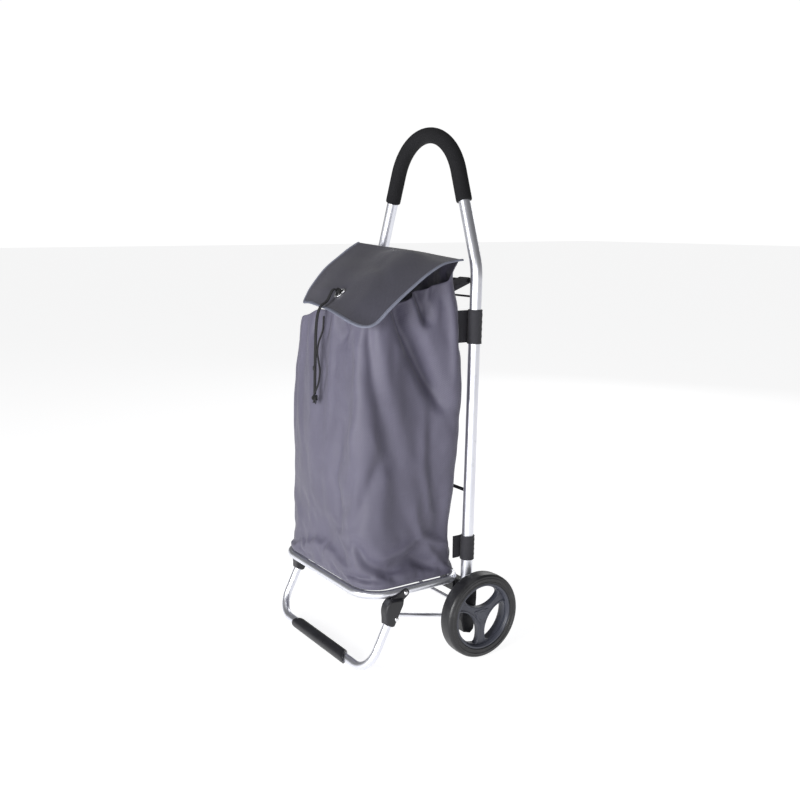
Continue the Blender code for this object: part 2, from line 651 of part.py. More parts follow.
def make_binding():
    """Edge piping round the two sides and the front hem, a little clear of the cut edge."""
    offset = 0.0016 + 2 * GAP
    rear_y, front_y = FLAP_PROFILE[0][0], FLAP_PROFILE[-1][0]
    side_edge = []
    for y, _ in FLAP_PROFILE:
        run = (rear_y - y) / (rear_y - front_y)
        half = FLAP_REAR_HALF + (FLAP_FRONT_HALF - FLAP_REAR_HALF) * run
        side_edge.append(Vector((half + offset, y, flap_height(half, y))))
    side_edge[-1].y -= offset
    corner_x = side_edge[-1].x
    hem = [Vector((corner_x * k / 5, front_y - offset, flap_height(corner_x * k / 5, front_y)))
           for k in range(4, 0, -1)]
    half_route = side_edge + hem
    middle = Vector((0, front_y - offset, flap_height(0, front_y)))
    route = half_route + [middle] + [Vector((-p.x, p.y, p.z)) for p in reversed(half_route)]
    tube("flap_binding", route, 0.0016, "binding", pivot=FLAP_HINGE, resolution=1)


def make_eyelet():
    place, normal = eyelet_frame()
    profile = [(0.0024, 0.0120), (0.0036, 0.0105), (0.0036, 0.0080), (-0.0036, 0.0080),
               (-0.0036, 0.0105), (-0.0024, 0.0120), (-0.0024, 0.0086), (0.0024, 0.0086)]
    side = Vector((1, 0, 0))
    across = normal.cross(side)
    bm = skin([[place + normal * out + radius * (side * math.cos(a) + across * math.sin(a))
                for out, radius in profile]
               for a in (2 * math.pi * k / 20 for k in range(20))], wrap=True)
    add_mesh("eyelet", bm, "rivet_steel", FLAP_HINGE)


def make_drawstring():
    place, normal = eyelet_frame()
    front = FLAP_PROFILE[-1]
    hem = flap_height(0, front[0])
    for name, x in (("a", -0.0021), ("b", 0.0021)):
        shift = Vector((x, 0, 0))
        over = place + normal * 0.0090 + Vector((0, -0.012, 0))
        points = [place - normal * 0.0010 + shift, place + normal * 0.0060 + shift,
                  over + shift, Vector((x, -0.1350, flap_height(0, -0.1350) + 0.0060)),
                  Vector((x, front[0] - 0.0080, hem + 0.0010)),
                  Vector((x, KNOT.y + 0.0005, hem - 0.0350)), Vector((x, KNOT.y, 0.5700)),
                  Vector((x, KNOT.y, KNOT.z + 0.0065 + GAP))]
        tube(f"drawstring_{name}", smooth_route(points, 0.0095), CORD_RADIUS, "cord",
             pivot=FLAP_HINGE, resolution=2)
    slack = [Vector((0.0150, -0.1535, 0.6440)), Vector((0.0165, -0.1570, 0.6250)),
             Vector((0.0080, -0.1580, 0.6000)), Vector((0.0070, -0.1600, 0.5800)),
             Vector((0.0150, -0.1600, 0.5500)), Vector((0.0130, -0.1620, 0.5250)),
             Vector((0.0040, -0.1665, KNOT.z + 0.0065 + GAP))]
    tube("drawstring_c", smooth_route(slack, 0.0090), CORD_RADIUS, "cord", pivot=FLAP_HINGE,
         resolution=2)
    profile = ((0.0062, 0.0048), (0.0030, KNOT_RADIUS), (-0.0030, KNOT_RADIUS),
               (-0.0065, 0.0038))
    bm = skin([[KNOT + Vector((radius * math.cos(a), radius * math.sin(a) * 0.8, rise))
                for a in (2 * math.pi * k / 10 for k in range(10))] for rise, radius in profile])
    add_mesh("cord_knot", bm, "cord", FLAP_HINGE)


# ---------------------------------------------------------------- assembly
def main():
    clear_scene()
    make_handle()
    make_cross_rods()
    make_axle()
    make_base_loop()
    make_stand()
    make_bag()
    for name, side in SIDES:
        make_rear_bracket(name, side)
        make_wheel(name, side)
        make_socket(name, side)
        make_link(name, side)
        make_hanger(name, side)
        for strap, low, high in STRAPS:
            make_strap(name, side, strap, low, high)
    make_flap()
    make_binding()
    make_eyelet()
    make_drawstring()


main()
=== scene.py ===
"""Looks of a folding two-wheel shopping trolley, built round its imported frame.

Metres throughout, +X to the right seen from the front, the front faces -Y, +Z up.
"""

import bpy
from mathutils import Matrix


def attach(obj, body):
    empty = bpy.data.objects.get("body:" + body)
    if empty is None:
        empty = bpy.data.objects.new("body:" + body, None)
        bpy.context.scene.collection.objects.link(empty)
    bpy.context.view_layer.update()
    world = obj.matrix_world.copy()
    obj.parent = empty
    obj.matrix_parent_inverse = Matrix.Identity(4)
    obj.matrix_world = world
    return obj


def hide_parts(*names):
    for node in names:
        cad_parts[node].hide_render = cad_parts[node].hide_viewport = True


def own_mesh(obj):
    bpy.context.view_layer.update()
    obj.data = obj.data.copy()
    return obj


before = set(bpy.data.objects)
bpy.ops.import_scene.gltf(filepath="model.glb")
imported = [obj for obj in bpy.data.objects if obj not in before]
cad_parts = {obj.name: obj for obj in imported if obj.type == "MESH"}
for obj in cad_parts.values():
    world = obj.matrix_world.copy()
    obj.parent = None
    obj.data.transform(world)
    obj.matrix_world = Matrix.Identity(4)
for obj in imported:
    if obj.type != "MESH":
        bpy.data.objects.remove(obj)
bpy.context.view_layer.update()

import math

import bmesh
import bpy
from mathutils import Matrix, Quaternion, Vector, noise

# ---------------------------------------------------------------- shared places, as in the part
GAP = 0.0003
SIDES = (("right", 1), ("left", -1))
X_AXIS = Vector((1, 0, 0))
Y_AXIS = Vector((0, 1, 0))
Z_AXIS = Vector((0, 0, 1))

AXLE = Vector((0, 0.082, 0.0825))
WHEEL_X = 0.202
TYRE_RADIUS = 0.0825
RIM_RADIUS = 0.064
WINDOW_RADIUS = 0.0575
WINDOW_CURVE_CENTRE = 0.0676
WINDOW_CURVE_RADIUS = 0.0511
SPOKE_TURN = math.radians(-90)

LEG_X = 0.164
LEG_RADIUS = 0.011
BEND_Z = 0.738
CONVERGE = 0.3635
GRIP_BOTTOM = 0.858
GRIP_RADIUS = 0.015

BASE_PIVOT = Vector((0, 0.0585, 0.151))
BASE_X = 0.167
BASE_FRONT = -0.149
BASE_RADIUS = 0.0075
STAND_PIVOT = Vector((0, -0.0713, 0.151))
STAND_FOOT = Vector((0, -0.1525, 0.012))
STAND_SLOPE = math.radians(26.8)
STAND_X = 0.175
STAND_RADIUS = 0.008
STAND_TOP = 0.022
SLEEVE_RADIUS = 0.012
SLEEVE_HALF = 0.093
LINK_FRONT = Vector((0, -0.0963, 0.1075))
LINK_REAR = Vector((0, 0.066, 0.06654))
LINK_FRONT_X = 0.16
LINK_REAR_X = 0.1535

FLAP_PROFILE = ((0.05, 0.756), (0.02, 0.7525), (-0.015, 0.739), (-0.05, 0.715),
                (-0.08, 0.691), (-0.11, 0.669), (-0.135, 0.654), (-0.153, 0.646))
FLAP_CROWN = 0.014
EYELET_Y = -0.102
CORD_RADIUS = 0.0017
TIE = Vector((0, -0.1585, 0.496))


def leg_y(z):
    return 0.0757 + 0.022 * z


def ease(value, low, high):
    """0 below low, 1 above high, and smooth between."""
    t = min(1.0, max(0.0, (value - low) / (high - low)))
    return t * t * (3 - 2 * t)


def read_off(table, at, column):
    """A column of a table of rows that start with a rising number, between its rows."""
    if at <= table[0][0]:
        return table[0][column]
    for low, high in zip(table, table[1:]):
        if at <= high[0]:
            t = ease(at, low[0], high[0]) * 0.5 + 0.5 * (at - low[0]) / (high[0] - low[0])
            return low[column] + (high[column] - low[column]) * t
    return table[-1][column]


# ---------------------------------------------------------------- camera
def set_camera():
    seat = Vector((1.5528, -1.0004, 0.8205))
    target = Vector((0.2936, -0.1622, 0.5382))
    lens = bpy.data.cameras.new("camera")
    lens.sensor_width = 36.0
    lens.lens = 42.98
    lens.clip_start = 0.05
    camera = bpy.data.objects.new("camera", lens)
    bpy.context.scene.collection.objects.link(camera)
    camera.location = seat
    camera.rotation_mode = "QUATERNION"
    camera.rotation_quaternion = ((target - seat).to_track_quat("-Z", "Y")
                                  @ Quaternion(Z_AXIS, math.radians(0.15)))
    bpy.context.scene.camera = camera


# ---------------------------------------------------------------- shader expressions
class Signal:
    """A socket that can be used in sums and products; each one adds a Math node."""

    def __init__(self, finish, socket):
        self.finish = finish
        self.socket = socket

    def of(self, output):
        """Another output of the same node."""
        return Signal(self.finish, self.socket.node.outputs[output])

    def math(self, operation, *values):
        return self.finish.node("ShaderNodeMath", {"operation": operation},
                                dict(enumerate(values)))

    def __add__(self, other):
        return self.math("ADD", self, other)

    def __sub__(self, other):
        return self.math("SUBTRACT", self, other)

    def __rsub__(self, other):
        return self.math("SUBTRACT", other, self)

    def __mul__(self, other):
        return self.math("MULTIPLY", self, other)

    def __gt__(self, other):
        return self.math("GREATER_THAN", self, other)

    __radd__ = __add__
    __rmul__ = __mul__

    def sine(self):
        return self.math("SINE", self)

    def size(self):
        return self.math("ABSOLUTE", self)


class Finish:
    """A material, and the one way of adding nodes to it."""

    def __init__(self, name, colour, roughness, metallic=0.0, **fixed):
        self.material = bpy.data.materials.new(name)
        self.material.use_nodes = True
        self.material.diffuse_color = (*colour, 1)
        self.tree = self.material.node_tree
        self.shader = self.tree.nodes["Principled BSDF"]
        self.fill(self.shader, {"Base Color": (*colour, 1), "Roughness": roughness,
                                "Metallic": metallic})
        self.fill(self.shader, {key.replace("_", " ").title().replace("Ior", "IOR"): value
                                for key, value in fixed.items()})

    def fill(self, node, values):
        for key, value in values.items():
            if isinstance(value, Signal):
                self.tree.links.new(value.socket, node.inputs[key])
            else:
                node.inputs[key].default_value = value

    def node(self, kind, settings=None, values=None, output=0):
        made = self.tree.nodes.new(kind)
        for key, value in (settings or {}).items():
            setattr(made, key, value)
        self.fill(made, values or {})
        return Signal(self, made.outputs[output])

    def feed(self, **inputs):
        self.fill(self.shader, {key.replace("_", " ").title(): value
                                for key, value in inputs.items()})

    def place(self):
        return self.node("ShaderNodeTexCoord", output="Object")

    def flow(self):
        return self.node("ShaderNodeAttribute", {"attribute_name": "flow"}, output="Vector")

    def stretch(self, vector, scale):
        return self.node("ShaderNodeVectorMath", {"operation": "MULTIPLY"},
                         {0: vector, 1: scale})

    def speckle(self, vector, scale, detail=2.0):
        return self.node("ShaderNodeTexNoise", None,
                         {"Vector": vector, "Scale": scale, "Detail": detail})

    def grain(self, scale, detail=2.0):
        """Noise fixed to the piece."""
        return self.speckle(self.place(), scale, detail)

    def split(self, vector):
        """The X of a vector; its Y and Z are other outputs of the same node."""
        return self.node("ShaderNodeSeparateXYZ", None, {"Vector": vector}, output="X")

    def ramp(self, value, low, high):
        return self.node("ShaderNodeMapRange", {"interpolation_type": "SMOOTHSTEP"},
                         {"Value": value, "From Min": low, "From Max": high})

    def mix(self, factor, first, second):
        """Two colours, or a colour and a link, blended by a number or a link."""
        first, second = (colour if isinstance(colour, Signal) else (*colour, 1)
                         for colour in (first, second))
        return self.node("ShaderNodeMix", {"data_type": "RGBA"},
                         {0: factor, 6: first, 7: second}, output=2)

    def relief(self, height, strength, distance):
        return self.node("ShaderNodeBump", None, {"Strength": strength, "Distance": distance,
                                                  "Height": height}, output="Normal")


def satin_aluminium():
    finish = Finish("satin_aluminium", (0.8, 0.81, 0.84), 0.3, 1.0)
    drawn = finish.speckle(finish.stretch(finish.flow(), (60, 60, 9)), 1.0, 3.0)
    cloud = finish.grain(14.0)
    grain = finish.grain(1400.0, 1.0)
    scuffs = finish.ramp(finish.grain(90.0, 4.0), 0.62, 0.72)
    colour = finish.mix(cloud, (0.72, 0.73, 0.8), (0.86, 0.87, 0.92))
    finish.feed(base_color=finish.mix(scuffs * 0.35, colour, (0.6, 0.61, 0.64)),
                roughness=0.31 + drawn * 0.09 + cloud * 0.05 + scuffs * 0.08,
                normal=finish.relief(drawn * 0.7 + grain * 0.3, 0.1, 0.0002))
    return finish.material


def moulded_plastic(name, dark, light, roughness, grain_scale=900.0):
    """Fine spark-eroded grain, a faint mottling and polish on the worn high spots."""
    finish = Finish(name, light, roughness, 0.0)
    grain = finish.grain(grain_scale, 2.0)
    mottle = finish.grain(55.0, 4.0)
    rubbed = finish.ramp(finish.grain(130.0, 5.0), 0.58, 0.74)
    finish.feed(base_color=finish.mix(mottle, dark, light),
                roughness=roughness + 0.1 * mottle - rubbed * 0.12,
                normal=finish.relief(grain + mottle * 0.4, 0.16, 0.00025))
    return finish.material


def tyre_rubber():
    finish = Finish("tyre_rubber", (0.02, 0.02, 0.022), 0.42, 0.0)
    grain = finish.grain(700.0, 3.0)
    dust = finish.ramp(finish.grain(40.0, 5.0), 0.5, 0.8)
    finish.feed(base_color=finish.mix(dust, (0.013, 0.013, 0.015), (0.036, 0.036, 0.039)),
                roughness=0.34 + 0.12 * dust + 0.08 * grain,
                normal=finish.relief(grain, 0.12, 0.0003))
    return finish.material


def handle_foam():
    """Closed-cell foam: small pits in a matt skin."""
    finish = Finish("handle_foam", (0.006, 0.006, 0.007), 0.9, 0.0, specular_ior_level=0.3)
    cells = finish.node("ShaderNodeTexVoronoi", {"feature": "SMOOTH_F1"},
                        {"Vector": finish.place(), "Scale": 620.0}, output="Distance")
    cloud = finish.grain(60.0, 4.0)
    finish.feed(base_color=finish.mix(cloud, (0.003, 0.003, 0.004), (0.008, 0.008, 0.01)),
                roughness=0.8 + 0.15 * cells,
                normal=finish.relief(cells + cloud * 0.5, 0.45, 0.0006))
    return finish.material


def bright_steel():
    finish = Finish("bright_steel", (0.8, 0.8, 0.82), 0.2, 1.0)
    marks = finish.grain(350.0, 4.0)
    finish.feed(base_color=finish.mix(marks, (0.66, 0.66, 0.69), (0.9, 0.9, 0.91)),
                roughness=0.14 + 0.16 * marks,
                normal=finish.relief(marks, 0.06, 0.0002))
    return finish.material


def coated_weave(name, dark, light, thread=0.0017, roughness=0.5):
    """Oxford cloth with a thin coat: crossing threads, faint slubs and a soft sheen."""
    finish = Finish(name, light, roughness, 0.0, sheen_weight=0.1, sheen_roughness=0.45)
    cloth = finish.node("ShaderNodeUVMap", {"uv_map": "cloth"})
    across = finish.split(cloth)
    along = across.of("Y")
    wave = math.pi / thread
    threads = (across * wave).sine() * (along * wave).sine()
    slub = finish.speckle(finish.stretch(cloth, (40, 900, 1)), 1.0, 2.0)
    slub_up = finish.speckle(finish.stretch(cloth, (900, 40, 1)), 1.0, 2.0)
    cloud = finish.grain(9.0, 3.0)
    rubbed = finish.grain(160.0, 4.0)
    shade = 0.5 + 0.34 * threads + (slub + slub_up - 1) * 0.6 + (cloud - 0.5) * 0.9
    finish.feed(base_color=finish.mix(shade, dark, light),
                roughness=roughness + 0.1 * rubbed - 0.05 * threads,
                normal=finish.relief(threads * 0.5 + slub + slub_up + rubbed * 0.5, 0.5, 0.0004))
    return finish.material


def edge_binding():
    """Grey woven tape folded over the hem, its middle pressed in by two rows of stitches and
    darkened there with painted shade.
    """
    finish = Finish("edge_binding", (0.22, 0.23, 0.29), 0.55, 0.0)
    flow = finish.flow()
    across = finish.split(flow)
    along = across.of("Z")
    rows = 1 - finish.ramp((across.size() - 0.3).size(), 0.04, 0.16)
    stitches = rows * ((along * (2 * math.pi / 0.0034)).sine() > -0.35)
    rib = (along * (2 * math.pi / 0.0009)).sine()
    cloud = finish.grain(60.0, 3.0)
    colour = finish.mix(cloud, (0.115, 0.125, 0.17), (0.18, 0.19, 0.245))
    # the middle groove: a dent in the relief, and painted shade that darkens its colour
    groove_and_shade = 1 - finish.ramp(across.size(), 0.05, 0.2)
    colour = finish.mix(groove_and_shade * 0.6, colour, (0.05, 0.05, 0.07))
    finish.feed(base_color=finish.mix(stitches * 0.5, colour, (0.32, 0.33, 0.4)),
                roughness=0.5 + 0.15 * cloud,
                normal=finish.relief(stitches + rib * 0.15 - groove_and_shade * 1.5, 0.5, 0.0005))
    return finish.material


def woven_webbing():
    """Black polyester tape with a rib across it."""
    finish = Finish("woven_webbing", (0.026, 0.025, 0.031), 0.75, 0.0, sheen_weight=0.1)
    split = finish.node("ShaderNodeSeparateXYZ", None, {"Vector": finish.place()}, output="Z")
    rib = (split * (2 * math.pi / 0.0016)).sine()
    twill = ((split.of("X") + split.of("Z")) * (2 * math.pi / 0.003)).sine()
    lint = finish.grain(420.0, 3.0)
    finish.feed(base_color=finish.mix(lint, (0.009, 0.009, 0.012), (0.032, 0.031, 0.04)),
                roughness=0.66 + 0.2 * lint,
                normal=finish.relief(rib + twill * 0.4 + lint, 0.4, 0.0004))
    return finish.material


def braided_cord():
    """Two sets of strands that wind round the cord in opposite ways."""
    finish = Finish("braided_cord", (0.009, 0.009, 0.01), 0.8, 0.0)
    flow = finish.split(finish.flow())
    angle = flow.math("ARCTAN2", flow.of("Y"), flow)
    run = flow.of("Z") * (2 * math.pi / 0.0052)
    strands = (angle * 4 + run).sine() * (angle * 4 - run).sine()
    lint = finish.grain(900.0, 3.0)
    finish.feed(base_color=finish.mix(strands * 0.5 + 0.5, (0.004, 0.004, 0.005),
                                      (0.022, 0.022, 0.024)),
                roughness=0.7 + 0.2 * lint,
                normal=finish.relief(strands + lint * 0.5, 0.6, 0.0006))
    return finish.material


def base_board():
    """Fibreboard panel in the floor of the bag."""
    finish = Finish("base_board", (0.03, 0.03, 0.035), 0.8, 0.0)
    fibre = finish.grain(260.0, 5.0)
    finish.feed(base_color=finish.mix(fibre, (0.016, 0.015, 0.018), (0.055, 0.052, 0.06)),
                roughness=0.75 + 0.15 * fibre,
                normal=finish.relief(fibre, 0.3, 0.0004))
    return finish.material


ALUMINIUM = satin_aluminium()
PLASTIC = moulded_plastic("black_moulding", (0.008, 0.008, 0.01), (0.016, 0.016, 0.02), 0.34)
RIM_PLASTIC = moulded_plastic("rim_moulding", (0.04, 0.043, 0.058), (0.066, 0.07, 0.092), 0.34)
RUBBER = tyre_rubber()
FOAM = handle_foam()
STEEL = bright_steel()
BAG_CLOTH = coated_weave("bag_cloth", (0.07, 0.066, 0.098), (0.116, 0.109, 0.16))
FLAP_CLOTH = coated_weave("flap_cloth", (0.03, 0.029, 0.041), (0.05, 0.048, 0.068),
                          roughness=0.6)
BINDING = edge_binding()
WEBBING = woven_webbing()
CORD = braided_cord()
BOARD = base_board()
LOOKS = {"aluminium": ALUMINIUM, "black_plastic": PLASTIC, "foam": FOAM, "tyre": RUBBER,
         "rim": RIM_PLASTIC, "rivet_steel": STEEL, "bag_fabric": BAG_CLOTH,
         "flap_fabric": FLAP_CLOTH, "binding": BINDING, "webbing": WEBBING, "cord": CORD}


# ---------------------------------------------------------------- making pieces
def as_object(name, bm, outward=True):
    """A bmesh made an object of the scene, its faces turned outwards."""
    bm.normal_update()
    if outward:
        bmesh.ops.recalc_face_normals(bm, faces=bm.faces)
    mesh = bpy.data.meshes.new(name)
    bm.to_mesh(mesh)
    bm.free()
    made = bpy.data.objects.new(name, mesh)
    bpy.context.scene.collection.objects.link(made)
    return made


def publish(name, bm, body, slot, nodes=(), look=None, crease=38.0, soft=False):
    """Makes a bmesh a finished piece that rides on a body and stands for CAD nodes."""
    piece = as_object(name, bm)
    piece.data.shade_smooth()
    piece.data.set_sharp_from_angle(angle=math.radians(crease))
    piece.data.materials.append(look or LOOKS[slot])
    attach(piece, body)
    if nodes:
        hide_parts(*nodes)
    if soft:
        flatten(piece)
    return piece


def flatten(piece):
    """Gives the piece a mesh of its own."""
    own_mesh(piece)


def thicken(piece, thickness, offset):
    """Gives a sheet its wall, and one finer level of subdivision."""
    wall = piece.modifiers.new("Wall", "SOLIDIFY")
    wall.thickness = thickness
    wall.offset = offset
    finer = piece.modifiers.new("Finer", "SUBSURF")
    finer.levels = 1
    finer.render_levels = 1


def break_edges(bm, edges):
    """A small round along sharp edges."""
    bmesh.ops.bevel(bm, geom=edges, offset=0.0008, segments=2, affect="EDGES", profile=0.5,
                    material=-1)


def rounded_path(corners, radii, steps):
    """Points along straight runs whose corners are replaced by arcs."""
    corners = [Vector(corner) for corner in corners]
    points = []
    for i, corner in enumerate(corners):
        if radii[i] == 0:
            points.append(corner)
            continue
        before = (corners[i - 1] - corner).normalized()
        after = (corners[(i + 1) % len(corners)] - corner).normalized()
        half = before.angle(after) / 2
        start = corner + before * radii[i] / math.tan(half)
        centre = corner + (before + after).normalized() * radii[i] / math.sin(half)
        turn = math.pi - 2 * half
        swing = (start - centre).normalized()
        side = (corner - centre - swing * (corner - centre).dot(swing)).normalized()
        for k in range(steps[i] + 1):
            angle = turn * k / steps[i]
            points.append(centre + radii[i] * (swing * math.cos(angle) + side * math.sin(angle)))
    return points


def smooth_route(points, spacing):
    """Evenly spaced points on a Catmull-Rom curve through given points."""
    points = [Vector(point) for point in points]
    padded = [2 * points[0] - points[1], *points, 2 * points[-1] - points[-2]]
    fine = []
    for before, here, there, after in zip(padded, padded[1:], padded[2:], padded[3:]):
        for k in range(16):
            t = k / 16
            fine.append(0.5 * (2 * here + (there - before) * t
                               + (2 * before - 5 * here + 4 * there - after) * t ** 2
                               + (3 * here - before - 3 * there + after) * t ** 3))
    fine.append(points[-1])
    lengths = [(b - a).length for a, b in zip(fine, fine[1:])]
    count = max(2, round(sum(lengths) / spacing))
    route = [fine[0]]
    walked = 0.0
    for start, end, length in zip(fine, fine[1:], lengths):
        while len(route) < count and walked + length >= sum(lengths) * len(route) / count:
            route.append(start.lerp(end, (sum(lengths) * len(route) / count - walked) / length))
        walked += length
    return route + [fine[-1]]


def places_along(points, side=X_AXIS, closed=False):
    """A place at each point: Z along the path, X as near as it can be to the last one's."""
    places = []
    side = Vector(side)
    for i, point in enumerate(points):
        before = points[i - 1] if i or closed else point
        after = points[(i + 1) % len(points)] if closed or i < len(points) - 1 else point
        ahead = (after - before).normalized()
        side = side - ahead * side.dot(ahead)
        if side.length < 1e-4:
            side = ahead.orthogonal()
        side.normalize()
        turn = Matrix((side, ahead.cross(side), ahead)).transposed().to_4x4()
        places.append(Matrix.Translation(point) @ turn)
    return places


def new_verts(geometry):
    """The vertices among what an operator has made."""
    return [item for item in geometry if isinstance(item, bmesh.types.BMVert)]


def grow(bm, edges):
    """Extrudes a ring of edges; the new ring's vertices and edges."""
    grown = bmesh.ops.extrude_edge_only(bm, edges=edges)["geom"]
    ring = new_verts(grown)
    members = set(ring)
    return ring, [item for item in grown if isinstance(item, bmesh.types.BMEdge)
                  and set(item.verts) <= members]


def first_ring(bm, sides):
    ring = bmesh.ops.create_circle(bm, segments=sides, radius=1.0)["verts"]
    return ring, list(dict.fromkeys(edge for vert in ring for edge in vert.link_edges))


def draw_out(bm, places, sizes, sides=28, closed=False):
    """A ring extruded from place to place; sizes are its half widths along X and Y."""
    flow = bm.verts.layers.float_vector.get("flow") or bm.verts.layers.float_vector.new("flow")
    ring, edges = first_ring(bm, sides)
    first = edges
    last_shape = Matrix.Identity(4)
    run = 0.0
    for i, (place, size) in enumerate(zip(places, sizes)):
        if i:
            ring, edges = grow(bm, edges)
            run += (place.translation - places[i - 1].translation).length
        shape = place @ Matrix.Diagonal((*size, 1, 1))
        bmesh.ops.transform(bm, matrix=shape @ last_shape.inverted(), verts=ring)
        back = shape.inverted()
        for vert in ring:
            local = back @ vert.co
            vert[flow] = (local.x, local.y, run)
        last_shape = shape
    if closed:
        bmesh.ops.bridge_loops(bm, edges=first + edges)
    else:
        bmesh.ops.contextual_create(bm, geom=first)
        bmesh.ops.contextual_create(bm, geom=edges)
    return bm


def tube(name, points, radius, body, slot, nodes, closed=False, sides=28, side=X_AXIS,
         chamfer=0.0):
    """A round bar along a path; its open ends have a small chamfer."""
    points = [Vector(point) for point in points]
    sizes = [(radius, radius)] * len(points)
    if chamfer and not closed:
        for end, inner in ((0, 1), (-1, -2)):
            step = (points[inner] - points[end]).normalized() * chamfer
            where = 1 if end == 0 else len(points) - 1
            points.insert(where, points[end] + step)
            sizes.insert(where, (radius, radius))
            sizes[end] = (radius - chamfer, radius - chamfer)
    bm = draw_out(bmesh.new(), places_along(points, side, closed), sizes, sides, closed)
    return publish(name, bm, body, slot, nodes)


def sleeve(bm, points, outer, inner, sides=28, side=X_AXIS):
    """A thick-walled sleeve along a path: out along the outside and back along the inside."""
    places = places_along(points, side)
    sizes = [(radius, radius) for radius in outer] + [(inner, inner)] * len(places)
    return draw_out(bm, places + places[::-1], sizes, sides, closed=True)


def spun(bm, profile, centre, side=1, steps=96, ring=False):
    """A profile of (distance out along X, radius) spun round the X axis."""
    verts = [bm.verts.new(Vector(centre) + Vector((side * out, 0, radius)))
             for out, radius in profile]
    pairs = list(zip(verts, verts[1:])) + ([(verts[-1], verts[0])] if ring else [])
    edges = [bm.edges.new(pair) for pair in pairs]
    bmesh.ops.spin(bm, geom=verts + edges, cent=centre, axis=X_AXIS, dvec=(0, 0, 0),
                   angle=2 * math.pi, steps=steps, use_merge=True)
    bmesh.ops.remove_doubles(bm, verts=bm.verts, dist=1e-6)
    return bm


def rounded_profile(corners, steps=4):
    """(distance, radius) points with each corner (distance, radius, rounding) made an arc."""
    flat = [(a, b, 0.0) for a, b, _ in corners]
    points = rounded_path(flat, [max(rounding, 0.0) for *_, rounding in corners],
                          [steps] * len(corners))
    return [(point.x, point.y) for point in points]


def evaluated(bm, *recipes):
    """A bmesh after modifiers, given as (kind, settings)."""
    blank = as_object("blank", bm)
    for kind, settings in recipes:
        step = blank.modifiers.new(kind, kind)
        for key, value in settings.items():
            setattr(step, key, value)
    graph = bpy.context.evaluated_depsgraph_get()
    result = bpy.data.meshes.new_from_object(blank.evaluated_get(graph))
    bpy.data.objects.remove(blank, do_unlink=True)
    made = bmesh.new()
    made.from_mesh(result)
    bpy.data.meshes.remove(result)
    return made


def carve(bm, blocks):
    """What is left of a shape when other shapes are cut out of it."""
    cutters = [as_object("cutter", block) for block in blocks]
    made = evaluated(bm, *[("BOOLEAN", {"operation": "DIFFERENCE", "solver": "EXACT",
                                        "object": blank}) for blank in cutters])
    for blank in cutters:
        bpy.data.objects.remove(blank, do_unlink=True)
    return made


def moulding(name, node, body, slot, voxel=0.0007, rounds=6, reshape=None):
    """The CAD solid as a moulding: its corners rounded and its facets smoothed away."""
    bm = bmesh.new()
    bm.from_mesh(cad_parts[node].data)
    bmesh.ops.remove_doubles(bm, verts=bm.verts, dist=1e-6)
    bm = evaluated(bm, ("REMESH", {"mode": "VOXEL", "voxel_size": voxel, "adaptivity": 0.0}),
                   ("SMOOTH", {"factor": 0.5, "iterations": rounds}))
    if reshape:
        for vert in bm.verts:
            vert.co += reshape(vert.co)
    return publish(name, bm, body, slot, [node], crease=60.0)


def knuckle_swell(point):
    """The shield on the front of the stand's socket swells out round the tube."""
    up = Vector((0, math.sin(STAND_SLOPE), math.cos(STAND_SLOPE)))
    forward = Vector((0, -math.cos(STAND_SLOPE), math.sin(STAND_SLOPE)))
    at = point - Vector((point.x, *STAND_PIVOT.yz))
    share = min(1.0, max(0.0, (-at.dot(up) - 0.01) / 0.048))
    return forward * 0.0065 * math.sin(math.pi * share) * ease(at.dot(forward), 0.004, 0.012)


# ---------------------------------------------------------------- flap surface
FLAP_RIGHT = ((0.171, 0.056, 0.753), (0.171, 0.038, 0.752), (0.171, 0.014, 0.749),
              (0.171, -0.016, 0.734), (0.171, -0.044, 0.715), (0.17, -0.072, 0.694),
              (0.168, -0.098, 0.672), (0.165, -0.118, 0.652), (0.162, -0.131, 0.6438),
              (0.156, -0.139, 0.6412))
FLAP_LEFT = ((-0.168, 0.04, 0.778), (-0.168, 0.032, 0.774), (-0.168, -0.004, 0.75),
             (-0.168, -0.041, 0.724), (-0.167, -0.073, 0.69), (-0.1645, -0.085, 0.674),
             (-0.16, -0.0925, 0.6655), (-0.152, -0.0985, 0.6618))
FLAP_REAR = ((-0.168, 0.04, 0.778), (-0.103, 0.05, 0.7725), (-0.03, 0.052, 0.7685),
             (0.039, 0.052, 0.7645), (0.104, 0.052, 0.759), (0.171, 0.056, 0.753))
FLAP_HEM = ((-0.152, -0.0985, 0.6618), (-0.138, -0.1045, 0.6612), (-0.105, -0.112, 0.664),
            (-0.052, -0.125, 0.664), (0.024, -0.142, 0.662), (0.088, -0.152, 0.654),
            (0.118, -0.151, 0.6465), (0.142, -0.146, 0.6415), (0.156, -0.139, 0.6412))


def flap_height(y):
    """Height of the part's flap along its middle."""
    for (y0, z0), (y1, z1) in zip(FLAP_PROFILE, FLAP_PROFILE[1:]):
        if y >= y1:
            break
    level = z0 + (z1 - z0) * (y - y0) / (y1 - y0)
    return level + FLAP_CROWN * min(1.0, (FLAP_PROFILE[0][0] - y) / 0.06)


def along(route, share):
    """A point of an evenly spaced route."""
    at = min(max(share, 0.0), 1.0) * (len(route) - 1)
    low = min(int(at), len(route) - 2)
    return route[low].lerp(route[low + 1], at - low)


EDGES = [smooth_route(points, 0.003) for points in (FLAP_RIGHT, FLAP_LEFT, FLAP_REAR, FLAP_HEM)]


